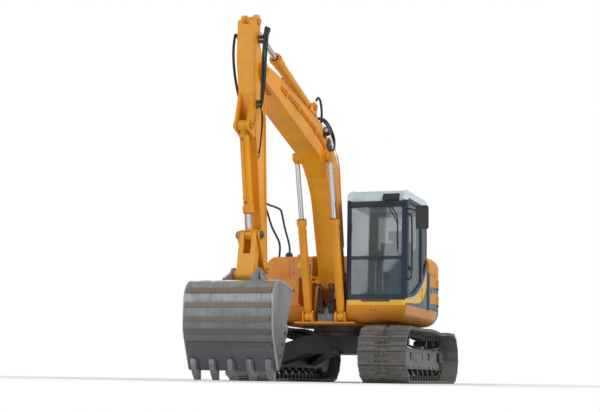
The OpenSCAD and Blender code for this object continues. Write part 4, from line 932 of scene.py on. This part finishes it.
# Pins, glands and eyes of the cylinders
def cylinder(name, p, q, ys, r, reach, rod_eye_half, rod_r, neck, barrel_body, rod_body):
    """Gland, ports and rod eyes of the cylinders between p and q at each of ys."""
    p, q = Vector(side_face(*p, 0)), Vector(side_face(*q, 0))
    way = (q - p).normalized()
    side = Vector((0, 1, 0))
    over = Vector((-way.z, 0, way.x))
    g = Shape()
    e = Shape()
    for y in ys:
        base, eye = p + side * y, q + side * y
        mouth = base + way * reach
        g.bar(mouth - way * 4, mouth + way * 7, rod_r + 13, 32, rod_r + 9, look=1)
        g.bar(mouth - way * 62, mouth - way * 56, r + 15.5, 40)
        g.bar(mouth - way * 205, mouth - way * 178, r + 8, 40)
        for u, v in circle(10, r + 5, pi / 10):
            g.bolt(mouth - way * 10 + side * u + over * v, way, 6, 7, look=2)
        for d in (165, reach - 140):
            c = base + way * d + over * (r + 26)
            g.bar(c, c + over * 10, 20, 6, look=2)
        for d in (reach * 0.4, reach * 0.68):
            c = base + way * d + over * (r + 4)
            g.bar(c - way * 9, c + way * 9, 17, 16)
        g.bar(base + way * 62, base + way * 100, r * 0.72 + 4, 32, r * 0.9)
        if neck:
            e.bar(eye - way * (58 + neck), eye - way * 58, rod_r + 4, 32, rod_r + 16)
        e.bar(eye - side * (rod_eye_half + 0.6), eye + side * (rod_eye_half + 0.6), 65.5, 40)
        e.bar(eye + over * 62, eye + over * 74, 9, 6, look=1)
    g.make(name + "_glands", [arm_paint, rubber, pin_steel], barrel_body, "body_paint", bevel=1)
    e.make(name + "_rod_eyes", [arm_paint, pin_steel], rod_body, "body_paint", bevel=1.5)


cylinder("boom_cylinder", RAM_BASE, RAM_EYE, (-250, 250), 60, 1460, 48, 36, 42, "boom_barrel_pair",
         "boom_rod_pair")
cylinder("arm_cylinder", ARM_RAM_BASE, ARM_RAM_EYE, (0,), 68, 1490, 45, 38, 0, "arm_barrel_body",
         "arm_rod_body")
cylinder("bucket_cylinder", BUCKET_RAM_BASE, BUCKET_RAM_EYE, (0,), 58, 1090, 42, 33, 30,
         "bucket_barrel_body", "bucket_rod_body")

bends = Shape()
way = (Vector(side_face(*RAM_EYE, 0)) - Vector(side_face(*RAM_BASE, 0))).normalized()
for s in (-1, 1):
    base = Vector(side_face(*RAM_BASE, s * 250))
    for k in (0, 1):
        y = s * (125 - 50 * k)
        c = base + way * (560 - 70 * k)
        bends.tube([(c.x - 40, s * 199, c.z), (c.x - 46, s * 178, c.z + 26), (1330, y + s * 8, 1530 - 55 * k),
                    (1298, y, 1490 - 30 * k), (1292, y, 1452), (1290, y, 1432)], 12)
        bends.bar((1290, y, 1436), (1289, y, 1412), 19, 6, look=1)
        bends.tube([(1289, y, 1420), (1288, y, 1408), (1287, y, 1396)], 15, 10, 2, look=1)
    c = base + way * 525
    bends.bar((c.x - 40, s * 203, c.z), (c.x - 40, s * 182, c.z), 15, 12)
bends.make("boom_cylinder_bends", [arm_paint, rubber], "boom_barrel_pair", "body_paint")


def pin_cap(s, p, y, way, r):
    """Disc on the end of a pin, with its bolts and a grease nipple."""
    x, z = p
    face = y + way * 8
    s.bar((x, y, z), (x, face, z), r, 28)
    for u, v in circle(3, r * 0.62, 0.5):
        s.bolt((x + u, face, z + v), (0, way, 0), 7, 6, look=1)
    s.bar((x, face, z), (x, y + way * 20, z), 5, 8, look=1)


caps = Shape()
for s in (-1, 1):
    pin_cap(caps, BOOM_TIP, s * 172, s, 56)
    pin_cap(caps, ARM_RAM_BASE, s * 122, s, 50)
caps.make("boom_pin_caps", [arm_paint, pin_steel], "boom_body", "body_paint", bevel=1)

caps = Shape()
for s in (-1, 1):
    pin_cap(caps, ARM_RAM_EYE, s * 114.5, s, 50)
    pin_cap(caps, BUCKET_RAM_BASE, s * 112, s, 50)
    pin_cap(caps, TIPPING_PIN, s * 156.5, s, 44)
    for run in (((4532, 700), (4608, 1300), (4770, 2060)),
                ((4348, 700), (4414, 1400), (4450, 1830), (4540, 2840))):
        caps.strip(laid(hung, s * 104, *run), (0, 1, 0), 12, 4)
for x, z, s in ((4850, 3800, 1), (4850, 3740, 1), (4880, 2960, 1), (4880, 2900, 1), (4850, 3780, -1),
                (4800, 3060, -1)):
    caps.bar(hung(x, z, s * 103), hung(x, z, s * 129), 27, 6, look=1)
    caps.bar(hung(x, z, s * 129), hung(x, z, s * 147), 22, 12, look=1)
caps.tube(laid(hung, 108, (4700, 3560, 104), (4640, 3200), (4600, 2900), (4560, 2400), (4520, 1900),
               (4470, 1500)), 6, 8, 5)
caps.tube(laid(hung, 150, (4880, 2900, 128), (4900, 2860), (4930, 2760), (4960, 2700, 128)), 12, 8, 5)
caps.make("arm_pin_caps_and_fittings", [arm_paint, pin_steel], "arm_body", "body_paint", bevel=1)
thin = Shape()
for k in (0, 1):
    thin.tube(laid(hung, 150, (4880, 2930 - 30 * k, 122), (4900, 2880 - 30 * k, 168 + 12 * k),
                   (4890, 2700, 182 + 12 * k), (4850, 2420 - 60 * k), (4800, 2330 - 60 * k, 112)), 7, 8)
thin.make("arm_thin_hoses", rubber, "arm_body", "hose_rubber")

bosses = Shape()
x, z = BUCKET_RAM_EYE
for s in (-1, 1):
    for y0, y1, r, n in ((147, 166, 50, 28), (166, 182, 30, 6), (119, 118, 62, 28)):
        bosses.bar((x, s * y0, z), (x, s * y1, z), r, n)
bosses.make("tipping_link_bosses", pin_steel, "tipping_link_pair", "track_steel", bevel=2)

link_bits = Shape()
x, z = LINK_PIN
for s in (-1, 1):
    link_bits.bar((x, s * 124, z), (x, s * 146, z), 76, 32)
    link_bits.strip([(4465, s * 111.5, 1700), (4500, s * 111.5, 1520), (4528, s * 111.5, 1380)],
                    (0, 1, 0), 12, 4)
link_bits.make("bucket_link_rings", arm_paint, "bucket_link_body", "body_paint", bevel=1)

# Bucket: rims, cutters, bolts and adapters
HEEL, LIP = (5450, 100), (5215, -370)
BUCKET = [(4700, 560, 0), (4760, 650, 60), (5440, 760, 260), (*HEEL, 500), (*LIP, 0)]
BUCKET_MIDDLE = Vector((5100, 300))
rim = Shape()
outline = rounded(BUCKET, 10)
for s in (-1, 1):
    line = []
    for x, z in outline[1:]:
        d = (BUCKET_MIDDLE - Vector((x, z))).normalized()
        line.append(hung(x + d.x * 14, z + d.y * 14, s * 565))
    rim.strip(line, (0, 1, 0), 28, 10)
    for x, z in ((5118, -190), (5040, -50), (4965, 85)):
        rim.bolt(hung(x, z, s * 560), (0, s, 0), 20, 14, look=1)
    pin_cap(rim, BUCKET_PIN, s * 197.5, s, 60)
    pin_cap(rim, LINK_PIN, s * 197.5, s, 56)
rim.make("bucket_rims_and_bolts", [rim_steel, pin_steel], "bucket_body", "bucket_steel", bevel=1.5)
adapters = Shape()
lip = Vector(LIP)
way = (lip - Vector(HEEL)).normalized()
back = Vector((-way.y, way.x))
for i in range(5):
    y = -476 + 238 * i
    corners = [lip + way * u + back * v for u, v in ((-170, 24), (-40, 38), (-20, 54), (-60, 62), (-160, 40))]
    adapters.prism([hung(p.x, p.y)[::2] for p in corners], (y - 30, y + 30))
    c = lip + way * 20
    adapters.bar(hung(c.x, c.y, y - 46), hung(c.x, c.y, y + 46), 12, 10, look=1)
adapters.make("tooth_adapters", [tooth_steel, pin_steel], "bucket_body", "bucket_steel", bevel=2)

# Undercarriage: bolts, covers and hoses
for side, name in ((1, "left"), (-1, "right")):
    outer = side * 1200
    s = Shape()
    for i in range(7):
        x = -995 + 1990 * i / 6
        s.bar((x, outer, 232), (x, outer + side * 5, 232), 26, 20)
        for d in (-38, 38):
            s.bolt((x + d, outer, 240), (0, side, 0), 10, 8, look=1)
    s.prism(plate(-1090, -930, 330, 480, 12), sorted((outer, outer + side * 42)), look=2)
    s.prism(plate(520, 690, 335, 475, 10), sorted((outer, outer + side * 6)))
    for x, z in ((535, 350), (675, 350), (535, 460), (675, 460)):
        s.bolt((x, outer + side * 6, z), (0, side, 0), 8, 6, look=1)
    for x in (-640, 330):
        s.prism(plate(x - 90, x + 90, 520, 548, 8), sorted((outer - side * 90, outer + side * 60)))
    s.bar((WHEEL_X, outer, TRACK_R), (WHEEL_X, outer + side * 8, TRACK_R), 88, 36)
    for u, v in circle(6, 66):
        s.bolt((WHEEL_X + u, outer + side * 8, TRACK_R + v), (0, side, 0), 9, 7, look=1)
    s.box(-1100, 1120, *sorted((outer, outer + side * 5)), 500, 514)
    s.make(f"{name}_frame_covers", [track_frame_paint, pin_steel, plastic], "undercarriage", "frame_paint",
           bevel=1.5)
    w = Shape()
    hub = side * LANE
    for r, y, n, size in ((182, 110, 14, 10), (124, 150, 9, 9)):
        for u, v in circle(n, r):
            w.bolt((-WHEEL_X + u, hub + side * y, TRACK_R + v), (0, side, 0), size, 9)
    w.bolt((-WHEEL_X, hub + side * 166, TRACK_R), (0, side, 0), 22, 8)
    for x, z in ((-1380, 440), (-1530, 380)):
        w.bolt((x, hub + side * 150, z), (0, side, 0), 13, 6)
    w.make(f"{name}_drive_bolts", pin_steel, "undercarriage", "track_steel", bevel=1)

s = Shape()
for u, v in circle(30, 532):
    s.bolt((u, v, 750), (0, 0, 1), 11, 9)
for x, y in ((420, 250), (420, -250), (-420, 250), (-420, -250)):
    s.bar((x, y, 690), (x, y, 697), 60, 28, look=1)
    s.bolt((x, y, 697), (0, 0, 1), 12, 8)
for side in (-1, 1):
    for run in (((-300, 400, 700), (-520, 620, 660), (-760, 800, 590), (-1000, 826, 560),
                 (-1240, 828, 480), (-1330, 828, 430)),
                ((-260, 420, 700), (-480, 650, 650), (-730, 816, 580), (-990, 842, 540),
                 (-1230, 844, 450), (-1310, 844, 400))):
        s.tube([(x, side * y, z) for x, y, z in run], 16, look=2)
s.make("ring_bolts_and_drive_hoses", [pin_steel, frame_paint, rubber], "undercarriage", "frame_paint",
       bevel=1)

# Floor and background
slab = Shape()
slab.box(-40000, 40000, -40000, 40000, -20, 0)
mesh = bpy.data.meshes.new("floor")
mesh.from_pydata([tuple(c * MM for c in p) for p in slab.points], [], slab.faces)
link(bpy.data.objects.new("floor", mesh))
m, tree, shader, place, xyz = start_material("pale_floor")
pale = blend_colour(tree, noise(tree, place, 0.4), (0.92, 0.92, 0.92), (0.90, 0.90, 0.90))
fill(tree, shader, Base_Color=pale, Roughness=0.85, Specular_IOR_Level=0.0)
reach = ramp(tree, new_node(tree, "VectorMath", {"operation": "LENGTH"}, i0=place).outputs["Value"], 4.0, 9.0)
seen = new_node(tree, "LightPath").outputs["Is Camera Ray"]
glow = new_node(tree, "Emission", Color=(1, 1, 1, 1), Strength=1.0).outputs[0]
faded = new_node(tree, "MixShader", i0=times(tree, reach, seen), i1=shader.outputs[0], i2=glow)
tree.links.new(faded.outputs[0], tree.nodes["Material Output"].inputs["Surface"])
mesh.materials.append(m)

world = bpy.data.worlds.new("studio")
scene.world = world
world.use_nodes = True
sky = world.node_tree
light = fill(sky, sky.nodes["Background"], Color=(0.86, 0.92, 1, 1), Strength=0.55).outputs[0]
white = new_node(sky, "Background", Color=(1, 1, 1, 1), Strength=1.0).outputs[0]
seen = new_node(sky, "LightPath").outputs["Is Camera Ray"]
switch = new_node(sky, "MixShader", i0=seen, i1=light, i2=white)
sky.links.new(switch.outputs[0], sky.nodes["World Output"].inputs[0])
